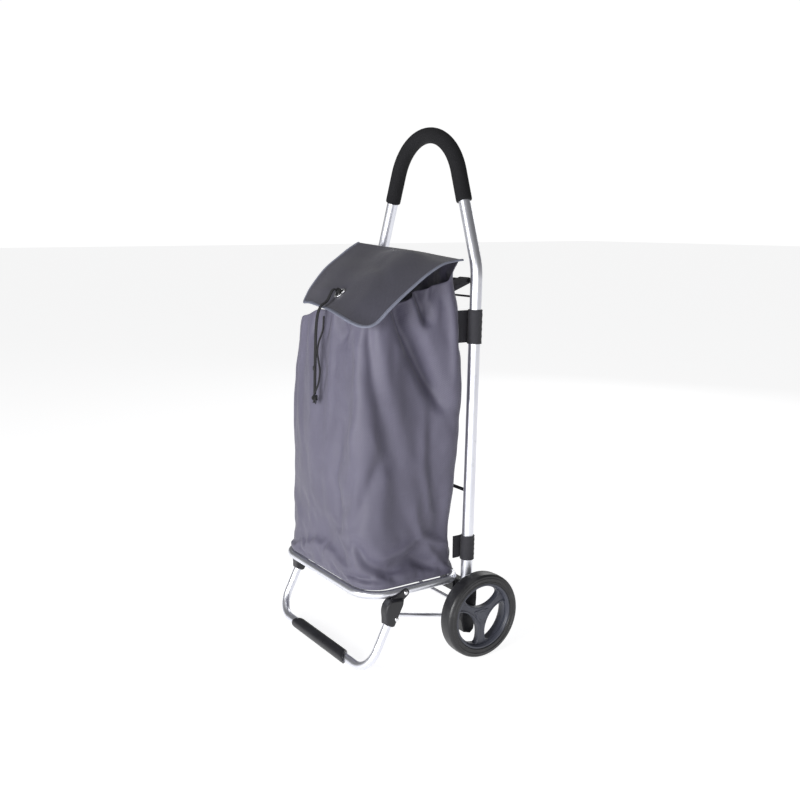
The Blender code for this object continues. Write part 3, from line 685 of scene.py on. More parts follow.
def flap_point(across, down):
    """A point of the flap, stretched between its four edges: 0 to 1 both ways."""
    right, left, rear, hem = EDGES
    u, v = across, down
    point = (along(left, v) * (1 - u) + along(right, v) * u
             + along(rear, u) * (1 - v) + along(hem, u) * v
             - (left[0] * (1 - u) + right[0] * u) * (1 - v)
             - (left[-1] * (1 - u) + right[-1] * u) * v)
    inner = ease(u, 0, 0.3) * ease(1 - u, 0, 0.3) * ease(v, 0, 0.2) * ease(1 - v, 0, 0.2)
    wave = 0.004 * math.sin(30 * point.x + 24 * point.y) + 0.003 * noise.noise(point * 16)
    lift = 0.004 * inner + 0.003 * math.sin(9 * u + 2) * ease(v, 0, 0.2) * (1 - v)
    dimple = -0.003 * math.exp(-((point.x / 0.02) ** 2 + ((point.y - EYELET_Y) / 0.018) ** 2))
    crease = -0.0045 * math.exp(-((point.x * 0.45 + point.y + 0.02) / 0.014) ** 2) * ease(
        point.x, 0.0, 0.05) * ease(1 - u, 0.05, 0.3)
    return point + Vector((0, 0, wave * inner + lift + dimple + crease))


def flap_normal(across, down):
    step = 0.01
    u = flap_point(min(1, across + step), down) - flap_point(max(0, across - step), down)
    v = flap_point(across, min(1, down + step)) - flap_point(across, max(0, down - step))
    normal = u.cross(v)
    return (-normal if normal.z < 0 else normal).normalized()


# ---------------------------------------------------------------- drawstring
def eyelet_place():
    """Middle of the eyelet, and the way it faces."""
    step = 0.004
    slope = (flap_height(EYELET_Y + step) - flap_height(EYELET_Y - step)) / (2 * step)
    return Vector((0, EYELET_Y, flap_height(EYELET_Y))), Vector((0, -slope, 1)).normalized()


def make_drawstring():
    """Two strands from the eyelet down to a knot, and a slack one from under the hem."""
    here, normal = eyelet_place()
    strands = {}
    for name, x in (("a", -0.0021), ("b", 0.0021)):
        shift = Vector((x, 0, 0))
        strands[name] = [here - normal * 0.001 + shift, here + normal * 0.006 + shift,
                         here + normal * 0.0085 + Vector((x, -0.01, 0)),
                         Vector((x, -0.13, 0.676)), Vector((x, -0.145, 0.664)),
                         Vector((x, -0.153, 0.635)), Vector((x, -0.1565, 0.57)),
                         Vector((x, TIE.y, TIE.z + 0.0068))]
    strands["c"] = [Vector((0.016, -0.146, 0.65)), Vector((0.019, -0.15, 0.625)),
                    Vector((0.009, -0.154, 0.6)), Vector((0.008, -0.156, 0.58)),
                    Vector((0.019, -0.1575, 0.55)), Vector((0.015, -0.159, 0.525)),
                    Vector((0.004, TIE.y - 0.0035, TIE.z + 0.0068))]
    pieces = {}
    for name, points in strands.items():
        route = smooth_route(points, 0.003)
        bm = draw_out(bmesh.new(), places_along(route),
                      [(CORD_RADIUS, CORD_RADIUS)] * len(route), 12)
        piece = publish(f"cord_strand_{name}", bm, "flap", "cord", [f"drawstring_{name}"])
        pieces[name] = (piece, route)

    # the knot: a strand wound over itself, with two frayed tails
    bm = bmesh.new()
    turns = [TIE + Vector((0.0034 * (2 + math.cos(3 * t)) / 2 * math.cos(2 * t),
                            0.003 * (2 + math.cos(3 * t)) / 2 * math.sin(2 * t),
                            0.004 * math.sin(3 * t)))
             for t in (2 * math.pi * k / 72 for k in range(72))]
    draw_out(bm, places_along(turns, closed=True), [(0.00175, 0.00175)] * 72, 10, closed=True)
    for k in range(11):
        spin = k * 2.4
        tip = Vector((0.0045 * math.cos(spin) + (0.002 if k % 2 else -0.003),
                      0.0018 * math.sin(spin), -0.01 - 0.0016 * math.sin(k * 1.7)))
        thread = smooth_route([TIE + Vector((0.001 * math.cos(spin), 0.001 * math.sin(spin),
                                              -0.002)), TIE + tip * 0.6, TIE + tip], 0.002)
        draw_out(bm, places_along(thread), [(0.0006, 0.0006)] * len(thread), 6)
    knot = publish("cord_tie", bm, "flap", "cord", ["cord_knot"])

    # the slider that holds the two strands together, and the bunched cord in the eyelet
    bm = bmesh.new()
    middle = Vector((0, TIE.y + 0.0002, 0.552))
    rise = (-0.0042, -0.0034, -0.0015, 0.0015, 0.0034, 0.0042)
    flare = (0.82, 1.0, 1.06, 1.06, 1.0, 0.82)
    draw_out(bm, places_along([middle + Z_AXIS * z for z in rise]),
             [(0.0046 * f, 0.0027 * f) for f in flare], 16)
    slider = publish("cord_collar", bm, "flap", "cord")
    bm = bmesh.new()
    for k, (radius, lift) in enumerate(((0.0046, 0.005), (0.0038, 0.0072), (0.0026, 0.009))):
        around = [here + normal * (lift + 0.001 * math.sin(2 * t + k))
                  + Vector((radius * math.cos(t + k), 0, 0))
                  + normal.cross(X_AXIS) * radius * 0.9 * math.sin(t + k)
                  for t in (2 * math.pi * j / 30 for j in range(30))]
        draw_out(bm, places_along(around, closed=True), [(CORD_RADIUS, CORD_RADIUS)] * 30, 10,
                 closed=True)
    bunch = publish("cord_bunch", bm, "flap", "cord")

    for piece in (pieces["a"][0], pieces["b"][0], pieces["c"][0], knot, slider, bunch):
        flatten(piece)


# ---------------------------------------------------------------- upright frame
def handle_path():
    apex_z = BEND_Z + LEG_X / CONVERGE
    corners = [(x, leg_y(z), z) for x, z in ((LEG_X, 0.104), (LEG_X, BEND_Z), (0, apex_z),
                                             (-LEG_X, BEND_Z), (-LEG_X, 0.104))]
    return rounded_path(corners, (0, 0.12, 0.1065, 0.12, 0), (0, 14, 60, 14, 0))


def make_upright():
    path = handle_path()
    tube("handle_bar", path, LEG_RADIUS, "root", "aluminium", ["handle_tube"], sides=40,
         side=Y_AXIS, chamfer=0.0008)

    covered = [point for point in path if point.z > GRIP_BOTTOM + 0.012]
    low = Vector((LEG_X - CONVERGE * (GRIP_BOTTOM - BEND_Z), leg_y(GRIP_BOTTOM), GRIP_BOTTOM))
    toward = (covered[0] - low).normalized()
    start = [(0.0, 0.0026), (0.0004, 0.0015), (0.0012, 0.0006), (0.0026, 0.0001), (0.006, 0.0)]
    opening = [low + toward * ahead for ahead, _ in start]
    closing = [Vector((-point.x, point.y, point.z)) for point in reversed(opening)]
    radii = [GRIP_RADIUS - inset for _, inset in start]
    radii = radii + [GRIP_RADIUS] * len(covered) + radii[::-1]
    bm = sleeve(bmesh.new(), opening + covered + closing, radii, LEG_RADIUS + GAP, 40, Y_AXIS)
    publish("foam_grip", bm, "root", "foam", ["handle_grip"])

    reach = LEG_X - LEG_RADIUS + 0.0005
    for name, node, z, radius in (("top_rod", "upper_cross_rod", 0.714, 0.0035),
                                  ("hanging_wire", "bag_wire", 0.685, 0.002),
                                  ("back_rod", "lower_cross_rod", 0.316, 0.0033)):
        tube(name, [(-reach, leg_y(z), z), (0, leg_y(z), z), (reach, leg_y(z), z)], radius,
             "root", "black_plastic", [node], sides=20, side=Y_AXIS)
    tip = WHEEL_X + 0.0067
    tube("axle_bar", [(-tip, *AXLE.yz), (0, *AXLE.yz), (tip, *AXLE.yz)], 0.004, "root",
         "rivet_steel", ["wheel_axle"], sides=24, side=Y_AXIS, chamfer=0.0006)
    for name, _ in SIDES:
        moulding(f"axle_bracket_{name}", f"rear_bracket_{name}", "root", "black_plastic")


# ---------------------------------------------------------------- wheels
def window_outline(grow=0.0):
    """The opening between two spokes as (y, z) points, made larger all round by grow."""
    outer, inner = WINDOW_RADIUS + grow, WINDOW_CURVE_RADIUS + grow
    near = (outer ** 2 + WINDOW_CURVE_CENTRE ** 2 - inner ** 2) / (2 * WINDOW_CURVE_CENTRE)
    corner = math.acos(near / outer)
    sweep = math.atan2(outer * math.sin(corner), near - WINDOW_CURVE_CENTRE)
    points = [(outer * math.cos(a), outer * math.sin(a))
              for a in (corner * (2 * k / 30 - 1) for k in range(31))]
    points += [(WINDOW_CURVE_CENTRE + inner * math.cos(a), inner * math.sin(a))
               for a in (sweep + (2 * math.pi - 2 * sweep) * k / 40 for k in range(1, 40))]
    return points


def eased(points, rounds=10):
    """A closed outline whose corners are worn round."""
    for _ in range(rounds):
        points = [tuple((points[i - 1][k] + 2 * points[i][k] + points[(i + 1) % len(points)][k])
                        / 4 for k in (0, 1)) for i in range(len(points))]
    return points


def window_block(centre, turn, grow, x_low, x_high):
    """A window's outline extruded along X, to carve with."""
    bm = bmesh.new()
    verts = [bm.verts.new((x_low, y, z)) for y, z in eased(window_outline(grow))]
    face = bm.faces.new(verts)
    grown = bmesh.ops.extrude_face_region(bm, geom=[face])["geom"]
    bmesh.ops.translate(bm, vec=(x_high - x_low, 0, 0), verts=new_verts(grown))
    bm.transform(Matrix.Translation(centre) @ Matrix.Rotation(turn, 4, "X"))
    return bm


def make_wheel(name, side):
    centre = Vector((side * WHEEL_X, *AXLE.yz))
    body = f"wheel_{name}"
    corners = [(0.014, 0.0643, 0.0), (0.0156, 0.065, 0.0006), (0.0158, 0.0672, 0.0006),
               (0.015, 0.068, 0.0006), (0.0152, 0.0722, 0.0006), (0.0162, 0.0728, 0.0005),
               (0.0164, 0.0741, 0.0006), (0.0158, 0.075, 0.0006), (0.0155, 0.0792, 0.0028),
               (0.0115, 0.0818, 0.005)]
    mirrored = [(-out, radius, rounding) for out, radius, rounding in reversed(corners)]
    shape = rounded_profile(corners + [(0.0, TYRE_RADIUS, 0.0)] + mirrored)
    bm = spun(bmesh.new(), shape, centre, side, 120, ring=True)
    publish(f"solid_tyre_{name}", bm, body, "tyre", [f"tyre_{name}"], crease=50.0)

    # rim barrel with a lip, and the plate of the spokes
    lip = 0.0584
    ring = rounded_profile([(-0.0145, 0.0598, 0.0005), (-0.0145, RIM_RADIUS, 0.0),
                            (0.0145, RIM_RADIUS, 0.0),
                            (0.015, 0.0625, 0.0006), (0.015, 0.0606, 0.0008),
                            (0.0138, 0.0598, 0.0006), (0.012, 0.0592, 0.0006),
                            (0.011, lip, 0.0008), (-0.01, lip, 0.0008)])
    barrel = spun(bmesh.new(), ring, centre, side, 120, ring=True)
    publish(f"rim_barrel_{name}", barrel, body, "rim", crease=45.0)

    plate_profile = [(-0.003, 0.0124), (-0.018, 0.011), (-0.018, 0.0043), (0.006, 0.0043),
                     (0.0085, 0.0128), (0.0078, 0.03), (0.0066, 0.059), (-0.003, 0.059)]
    plate = spun(bmesh.new(), plate_profile, centre, side, 120, ring=True)
    turns = [SPOKE_TURN + math.radians(60 + 120 * k) for k in range(3)]
    plate = carve(plate, [window_block(centre, turn, 0.0, -0.03, 0.03) for turn in turns])
    # raised ribs along both edges of each spoke
    for turn in turns:
        inner = [point for point in eased(window_outline(0.0022))
                 if math.hypot(*point) < WINDOW_RADIUS + 0.0008]
        start = max(range(len(inner)), key=lambda i: math.dist(inner[i], inner[i - 1]))
        inner = inner[start:] + inner[:start]
        route = []
        for y, z in inner:
            out = 0.008 - 0.0016 * (math.hypot(y, z) / 0.059)
            spot = Matrix.Rotation(turn, 4, "X") @ Vector((side * out, y, z))
            route.append(centre + spot)
        draw_out(plate, places_along(route), [(0.0018, 0.002)] * len(route), 12)
    publish(f"rim_spokes_{name}", plate, body, "rim", [f"wheel_rim_{name}"], crease=40.0)

    # the middle: a low three-armed plate over the hub
    bm = bmesh.new()
    ring = []
    for k in range(96):
        angle = 2 * math.pi * k / 96
        reach = 0.0128 + 0.0062 * max(0.0, math.cos(3 * (angle - SPOKE_TURN))) ** 2.2
        ring.append(bm.verts.new((0.0071, reach * math.cos(angle), reach * math.sin(angle))))
    face = bm.faces.new(ring)
    for out, inset in ((0.0022, 0.0002), (0.0006, 0.0006), (0.0, 0.003), (-0.0004, 0.0003),
                       (0.0, 0.0008), (0.0005, 0.0003)):
        face = bmesh.ops.extrude_discrete_faces(bm, faces=[face])["faces"][0]
        middle = face.calc_center_median()
        for vert in face.verts:
            vert.co += (middle - vert.co).normalized() * inset + X_AXIS * out
    bmesh.ops.remove_doubles(bm, verts=bm.verts, dist=1e-7)
    bm.transform(Matrix.Translation(centre) @ Matrix.Diagonal((side, 1, 1, 1)))
    publish(f"hub_cover_{name}", bm, body, "rim", [f"hub_cap_{name}"])
    clip = spun(bmesh.new(), [(0.0055, 0.0043), (0.0055, 0.0075), (0.0066, 0.0072),
                              (0.0068, 0.0055), (0.0068, 0.0043)], centre, side, 32, ring=True)
    publish(f"axle_ring_{name}", clip, "root", "rivet_steel", [f"axle_clip_{name}"])


# ---------------------------------------------------------------- folding base and stand
def stand_point(down, rear):
    """(y, z) on the stand: distance down its tube from the hinge, and towards the rear."""
    up = Vector((math.sin(STAND_SLOPE), math.cos(STAND_SLOPE)))
    across = Vector((math.cos(STAND_SLOPE), -math.sin(STAND_SLOPE)))
    reach = Vector((STAND_PIVOT.y - STAND_FOOT.y, STAND_PIVOT.z - STAND_FOOT.z))
    point = STAND_FOOT.yz + up * (reach.dot(up) - down) + across * rear
    return point.x, point.y


def rivet(name, node, body, x_face, side, at, x_end):
    """A domed head proud of a face, on a shank."""
    dome = [(x_face + 0.0003 + 0.002 * math.sin(a), 0.0043 * math.cos(a))
            for a in (math.pi / 2 * k / 8 for k in range(8))] + [(x_face + 0.0023, 0.00001)]
    profile = [(x_end, 0.00001), (x_end, 0.0024), (x_face + 0.0003, 0.0024)] + dome
    bm = spun(bmesh.new(), profile, (0, at.y, at.z), side, 36)
    publish(name, bm, body, "rivet_steel", [node])


def make_base():
    z = BASE_PIVOT.z
    corners = [(BASE_X, BASE_PIVOT.y, z), (BASE_X, BASE_FRONT, z), (-BASE_X, BASE_FRONT, z),
               (-BASE_X, BASE_PIVOT.y, z)]
    path = rounded_path(corners, (0.03, 0.055, 0.055, 0.03), (16, 22, 22, 16))
    tube("base_ring", path, BASE_RADIUS, "base", "aluminium", ["base_loop"], closed=True,
         sides=32, side=Z_AXIS)
    for name, side in SIDES:
        rivet(f"ear_rivet_{name}", f"hinge_rivet_{name}", "base", 0.1788, side, STAND_PIVOT, 0.164)


def make_stand():
    top = stand_point(STAND_TOP, 0)
    foot = tuple(STAND_FOOT.yz)
    corners = [(STAND_X, *top), (STAND_X, *foot), (-STAND_X, *foot), (-STAND_X, *top)]
    path = rounded_path(corners, (0, 0.045, 0.045, 0), (0, 24, 24, 0))
    tube("stand_bar", path, STAND_RADIUS, "stand", "aluminium", ["stand_tube"], sides=32,
         side=Y_AXIS, chamfer=0.0006)

    run = [-1, -0.9965, -0.985] + [k / 12 for k in range(-11, 12)] + [0.985, 0.9965, 1]
    wall = [SLEEVE_RADIUS - {1: 0.0012, 0.9965: 0.0004}.get(abs(share), 0.0) for share in run]
    points = [Vector((SLEEVE_HALF * share, *foot)) for share in run]
    bm = sleeve(bmesh.new(), points, wall, STAND_RADIUS + GAP, 36, Y_AXIS)
    for vert in bm.verts:
        lean = (foot[0] - vert.co.y) / SLEEVE_RADIUS
        vert.co.x *= 1 + 0.01 * lean / SLEEVE_HALF
    publish("foot_tube", bm, "stand", "black_plastic", ["foot_sleeve"])

    for name, side in SIDES:
        moulding(f"stand_knuckle_{name}", f"hinge_socket_{name}", "stand", "black_plastic",
                 0.0006, 5, knuckle_swell)
        rivet(f"knuckle_rivet_{name}", f"socket_rivet_{name}", "stand", 0.186, side, LINK_FRONT,
              0.1848)


def make_links():
    """Round rods whose ends are crimped flat and rounded off round a pin."""
    for name, side in SIDES:
        front = Vector((side * LINK_FRONT_X, *LINK_FRONT.yz))
        rear = Vector((side * LINK_REAR_X, *LINK_REAR.yz))
        length = (rear - front).length
        ahead = (rear - front) / length
        table = [(-0.006, 0.0016, 0.0008), (-0.0054, 0.0017, 0.003), (-0.0036, 0.0018, 0.005),
                 (0.0, 0.0018, 0.006), (0.006, 0.0019, 0.0056), (0.012, 0.0026, 0.0045),
                 (0.018, 0.0034, 0.0036), (0.024, 0.0035, 0.0035)]
        stations = table + [(length * k / 10, 0.0035, 0.0035) for k in range(2, 9)]
        stations += [(length - at, wide, high) for at, wide, high in reversed(table)]
        points = [front + ahead * at for at, _, _ in stations]
        bm = draw_out(bmesh.new(), places_along(points), [(w, h) for _, w, h in stations], 20)
        publish(f"link_bar_{name}", bm, "links", "aluminium", [f"link_rod_{name}"])
        head = LINK_REAR_X - 0.0043
        profile = [(head, 0.00001), (head + 0.0002, 0.003), (head + 0.0008, 0.0042),
                   (head + 0.0015, 0.0042), (head + 0.0015, 0.0024), (0.1675, 0.0024),
                   (0.1675, 0.00001)]
        bm = spun(bmesh.new(), profile, (0, rear.y, rear.z), side, 36)
        publish(f"link_rivet_{name}", bm, "root", "rivet_steel", [f"link_pin_{name}"])


# ---------------------------------------------------------------- bag
BAG_BOTTOM = 0.16
# height, half width in front, place of the front, half width at the rear, place of the rear
BAG_LEVELS = ((0.16, 0.171, -0.153, 0.171, 0.053), (0.19, 0.166, -0.152, 0.166, 0.052),
              (0.26, 0.16, -0.15, 0.16, 0.051), (0.33, 0.157, -0.148, 0.167, 0.055),
              (0.44, 0.159, -0.146, 0.174, 0.061), (0.53, 0.158, -0.143, 0.176, 0.064),
              (0.6, 0.154, -0.138, 0.173, 0.062), (0.66, 0.15, -0.13, 0.169, 0.058),
              (0.7, 0.146, -0.126, 0.16, 0.052), (0.73, 0.144, -0.124, 0.156, 0.051),
              (0.752, 0.144, -0.124, 0.17, 0.056))
# height of the mouth by the share of the way round, from the middle of the rear by the right
BAG_MOUTH = ((0.000, 0.765), (0.158, 0.752), (0.176, 0.716), (0.205, 0.708), (0.24, 0.698),
             (0.28, 0.678), (0.32, 0.662), (0.35, 0.656), (0.42, 0.658), (0.5, 0.66),
             (0.545, 0.658), (0.6, 0.643), (0.645, 0.627), (0.665, 0.623), (0.695, 0.629),
             (0.73, 0.645), (0.78, 0.67), (0.82, 0.696), (0.845, 0.774), (1.000, 0.765))
BAG_COLUMNS = 144
BAG_ROWS = 82
BAG_CORNER = 0.048
CLOTH_MOVE = 0.006                      # the furthest that settling may move a point
# creases and swells of the cloth: points, half width, height and how soft, in metres
FOLDS = (
    (((0.15, -0.072, 0.69), (0.156, -0.05, 0.63), (0.162, -0.019, 0.57), (0.166, 0.018, 0.5)),
     0.017, -0.032, 2.0),
    (((0.15, 0.034, 0.69), (0.162, 0.04, 0.63), (0.17, 0.04, 0.56), (0.172, 0.046, 0.5)),
     0.011, 0.008, 2.0),
    (((0.14, -0.034, 0.72), (0.146, -0.02, 0.69), (0.154, -0.008, 0.648)), 0.01, -0.024, 2.0),
    (((0.144, 0.014, 0.72), (0.15, 0.006, 0.694), (0.154, -0.008, 0.648)), 0.008, -0.022, 2.0),
    (((0.146, -0.006, 0.72), (0.15, -0.004, 0.69), (0.152, -0.004, 0.67)), 0.007, 0.008, 1.6),
    (((0.152, 0.02, 0.665), (0.158, 0.04, 0.64), (0.162, 0.056, 0.6)), 0.007, -0.01, 2.0),
    (((0.165, 0.03, 0.47), (0.165, 0.045, 0.44)), 0.008, -0.008, 2.0),
    (((0.161, -0.004, 0.5), (0.162, -0.006, 0.389), (0.162, 0.006, 0.3)), 0.005, -0.006, 1.4),
    (((0.161, -0.018, 0.49), (0.162, -0.02, 0.389), (0.162, -0.006, 0.3)), 0.008, 0.005, 2.0),
    (((0.164, 0.016, 0.33), (0.164, 0.02, 0.29), (0.164, 0.012, 0.255)), 0.012, -0.008, 2.0),
    (((0.14, -0.132, 0.65), (0.152, -0.126, 0.575), (0.158, -0.106, 0.5), (0.16, -0.08, 0.4)),
     0.02, -0.018, 2.0),
    (((0.1, -0.138, 0.6), (0.115, -0.142, 0.5), (0.12, -0.146, 0.42)), 0.022, 0.005, 2.0),
    (((0.165, -0.11, 0.226), (0.165, -0.062, 0.238), (0.165, -0.026, 0.254)), 0.008, 0.009, 1.2),
    (((0.165, -0.026, 0.254), (0.165, 0.01, 0.235), (0.165, 0.05, 0.216)), 0.007, 0.008, 1.2),
    (((0.165, -0.026, 0.254), (0.165, 0.006, 0.2), (0.165, 0.038, 0.168)), 0.008, 0.008, 1.2),
    (((0.165, -0.026, 0.254), (0.165, -0.034, 0.29), (0.165, -0.036, 0.33)), 0.009, 0.006, 1.4),
    (((0.165, -0.1, 0.202), (0.165, -0.045, 0.212), (0.165, -0.006, 0.188)), 0.013, -0.01, 2.0),
    (((0.13, -0.151, 0.25), (0.152, -0.14, 0.218), (0.165, -0.1, 0.196)), 0.012, -0.013, 2.0),
    (((0.105, -0.151, 0.188), (0.15, -0.142, 0.181), (0.165, -0.09, 0.175)), 0.0045, -0.006, 1.4),
    (((0.16, -0.1, 0.42), (0.15, -0.14, 0.34), (0.125, -0.151, 0.28)), 0.015, -0.01, 2.0),
    (((0.125, -0.149, 0.47), (0.1, -0.15, 0.4), (0.085, -0.15, 0.33)), 0.018, 0.006, 2.0),
    (((0.07, -0.148, 0.46), (0.055, -0.15, 0.36), (0.07, -0.151, 0.27)), 0.014, -0.008, 2.0),
    (((-0.04, -0.14, 0.6), (-0.03, -0.148, 0.48), (0.000, -0.15, 0.33)), 0.04, 0.005, 2.0),
    (((-0.12, -0.14, 0.6), (-0.11, -0.146, 0.45), (-0.12, -0.15, 0.3)), 0.03, -0.006, 2.0),
    (((0.05, -0.137, 0.655), (0.07, -0.142, 0.61)), 0.012, -0.014, 2.0),
    (((0.1, -0.135, 0.655), (0.072, -0.141, 0.612)), 0.006, 0.007, 1.4),
    (((-0.04, -0.13, 0.655), (-0.045, -0.14, 0.61)), 0.008, -0.008, 2.0),
)


def bag_outline():
    """Shares of the half width and half depth round the bag, evenly spaced, from the rear."""
    half, front, rear = 0.16, -0.149, 0.0515
    corners = [(0, rear, 0), (half, rear, 0), (half, front, 0), (-half, front, 0),
               (-half, rear, 0), (0, rear, 0)]
    line = rounded_path(corners, (0, 0.022, BAG_CORNER, BAG_CORNER + 0.012, 0.022, 0),
                        (0, 12, 16, 16, 12, 0))
    lengths = [(b - a).length for a, b in zip(line, line[1:])]
    total = sum(lengths)
    shares = []
    walked = 0.0
    for a, b, length in zip(line, line[1:], lengths):
        while (len(shares) < BAG_COLUMNS
               and walked + length >= total * len(shares) / BAG_COLUMNS - 1e-9):
            point = a.lerp(b, (total * len(shares) / BAG_COLUMNS - walked) / length)
            shares.append((point.x / half, (point.y - (front + rear) / 2) / ((rear - front) / 2)))
        walked += length
    return shares, total


def near_line(point, line):
    """Distance to a broken line, and how far along it, 0 to 1."""
    best, at = 1e9, 0.0
    for i, (a, b) in enumerate(zip(line, line[1:])):
        a, b = Vector(a), Vector(b)
        t = min(1.0, max(0.0, (point - a).dot(b - a) / (b - a).length_squared))
        far = (point - a.lerp(b, t)).length
        if far < best:
            best, at = far, (i + t) / (len(line) - 1)
    return best, at


def bag_spot(across, depth, share, arc, round_share):
    """A point of the bag's wall: place round it, share of its height, and distance round."""
    top = read_off(BAG_MOUTH, round_share, 1)
    z = BAG_BOTTOM + (top - BAG_BOTTOM) * share
    half, front, rear_half, rear = (read_off(BAG_LEVELS, z, k) for k in (1, 2, 3, 4))
    half += (rear_half - half) * ease(depth, -0.2, 0.9) - 0.003 * (across < 0)
    rear += (0.053 - rear) * ease(0.9 - abs(across), 0, 0.35)
    gather = ease(share, 0.84, 1.0)
    tuck = 0.002 * (1 - ease(z, BAG_BOTTOM, BAG_BOTTOM + 0.006))
    middle = Vector((0, (front + rear) / 2, z))
    point = middle + Vector((across * (half - tuck), depth * ((rear - front) / 2 - tuck), 0))
    out = point - middle
    out = Vector((out.x ** 3 / 0.16 ** 2, out.y ** 3 / 0.1 ** 2, 0)).normalized()
    on_wall = ease(z, BAG_BOTTOM, BAG_BOTTOM + 0.03)
    rise = 0.0
    for line, width, height, soft in FOLDS:
        far, at = near_line(point, line)
        if far < 3.5 * width:
            fade = ease(at, -0.25, 0.25) * (1 - ease(at, 0.75, 1.25))
            rise += height * math.exp(-(far / width) ** soft) * fade
    wander = noise.noise(Vector((arc * 6, 0.3, z * 5))) * 0.02
    rise += 0.0038 * noise.noise(Vector(((arc + wander) * 24, 5.2, z * 5.5)))
    rise += 0.0018 * noise.noise(Vector((arc * 55, 9.0 + z * 30, z * 14)))
    rear_calm = 1 - 0.8 * ease(depth, 0.75, 1.0)
    rise += (0.012 * noise.noise(Vector((arc * 38, 2.0, z * 3))) - 0.003) * gather * rear_calm
    return point + out * rise * on_wall


def knit_wall(bm, shares, total):
    """A ring of the bag's outline extruded row by row up to the mouth, with a cloth map."""
    number = bm.verts.layers.int.new("number")
    row_at = bm.verts.layers.int.new("row")
    ring, edges = first_ring(bm, BAG_COLUMNS)
    for k, vert in enumerate(ring):
        vert[number] = k
    bottom = edges
    for row in range(BAG_ROWS + 1):
        if row:
            ring, edges = grow(bm, edges)
        for vert in ring:
            k = vert[number]
            vert[row_at] = row
            vert.co = bag_spot(*shares[k], row / BAG_ROWS, total * k / BAG_COLUMNS,
                               k / BAG_COLUMNS)
    for face in bm.faces:
        face.smooth = True
    cloth = bm.loops.layers.uv.new("cloth")
    for face in bm.faces:
        columns = [loop.vert[number] for loop in face.loops]
        wraps = max(columns) - min(columns) > BAG_COLUMNS / 2
        for loop, column in zip(face.loops, columns):
            if wraps and column == 0:
                column = BAG_COLUMNS
            loop[cloth].uv = (total * column / BAG_COLUMNS, 0.58 * loop.vert[row_at] / BAG_ROWS)
    floor = bmesh.ops.contextual_create(bm, geom=bottom)["faces"]
    for _ in range(3):
        bmesh.ops.inset_region(bm, faces=floor, thickness=0.018, use_even_offset=True)
    return bm


def settle(piece, held, frames=12):
    """Where the cloth settles between the rows that are sewn or rest on something.

    The operators leave faces in an order that changes from run to run, and the solver's
    result follows it, so the cloth is settled on a copy with its faces in a fixed order.
    """
    faces = [tuple(face.vertices) for face in piece.data.polygons]
    firsts = [face.index(min(face)) for face in faces]
    faces = sorted(face[first:] + face[:first] for face, first in zip(faces, firsts))
    mesh = bpy.data.meshes.new("settling")
    mesh.from_pydata([vert.co for vert in piece.data.vertices], [], faces)
    blank = bpy.data.objects.new("settling", mesh)
    bpy.context.scene.collection.objects.link(blank)
    group = blank.vertex_groups.new(name="held")
    for weight, members in held.items():
        group.add(members, weight, "REPLACE")
    cloth = blank.modifiers.new("Cloth", "CLOTH")
    cloth.point_cache.frame_start = 1
    cloth.point_cache.frame_end = frames
    settings = cloth.settings
    settings.quality = 4
    settings.mass = 0.2
    settings.tension_stiffness = 20
    settings.compression_stiffness = 20
    settings.shear_stiffness = 12
    settings.bending_stiffness = 2.5
    settings.shrink_min = -0.035
    settings.vertex_group_mass = "held"
    settings.use_pressure = True
    settings.uniform_pressure_force = 0.6
    settings.effector_weights.gravity = 0.35
    cloth.collision_settings.use_collision = False
    scene = bpy.context.scene
    for number in range(1, frames + 1):
        scene.frame_set(number)
    graph = bpy.context.evaluated_depsgraph_get()
    settled = [vert.co.copy() for vert in blank.evaluated_get(graph).data.vertices]
    bpy.data.objects.remove(blank, do_unlink=True)
    scene.frame_set(1)
    return settled


def make_bag():
    shares, total = bag_outline()
    bm = knit_wall(bmesh.new(), shares, total)
    piece = publish("bag_body", bm, "root", "bag_fabric", ["bag_shell"], crease=180)
    rows = [value.value for value in piece.data.attributes["row"].data]
    held = {1.0: [i for i, row in enumerate(rows)
                  if row <= 1 or row >= BAG_ROWS - 1],
            0.3: [i for i, row in enumerate(rows) if row in (2, 3, BAG_ROWS - 3, BAG_ROWS - 2)]}
    for vert, place in zip(piece.data.vertices, settle(piece, held)):
        move = place - vert.co
        vert.co += move * (1.0 if move.length <= CLOTH_MOVE else CLOTH_MOVE / move.length)
    for vert in piece.data.vertices:
        vert.co.x = max(-0.178, min(0.178, vert.co.x))
        vert.co.y = max(-0.156, min(0.068, vert.co.y))
    thicken(piece, 0.0012, -1)
    flatten(piece)

    half, front, rear = 0.152, -0.138, 0.04
    corners = [(half, rear, 0), (half, front, 0), (-half, front, 0), (-half, rear, 0)]
    outline = rounded_path(corners, (0.02, 0.04, 0.04, 0.02), (8, 12, 12, 8))
    bm = bmesh.new()
    face = bm.faces.new([bm.verts.new((point.x, point.y, 0.164)) for point in outline])
    grown = bmesh.ops.extrude_face_region(bm, geom=[face])["geom"]
    bmesh.ops.translate(bm, vec=(0, 0, 0.003), verts=new_verts(grown))
    rims = [edge for edge in bm.edges if abs(edge.verts[0].co.z - edge.verts[1].co.z) < 1e-6]
    break_edges(bm, rims)
    publish("floor_board", bm, "root", "webbing", ["base_panel"], look=BOARD, soft=True)


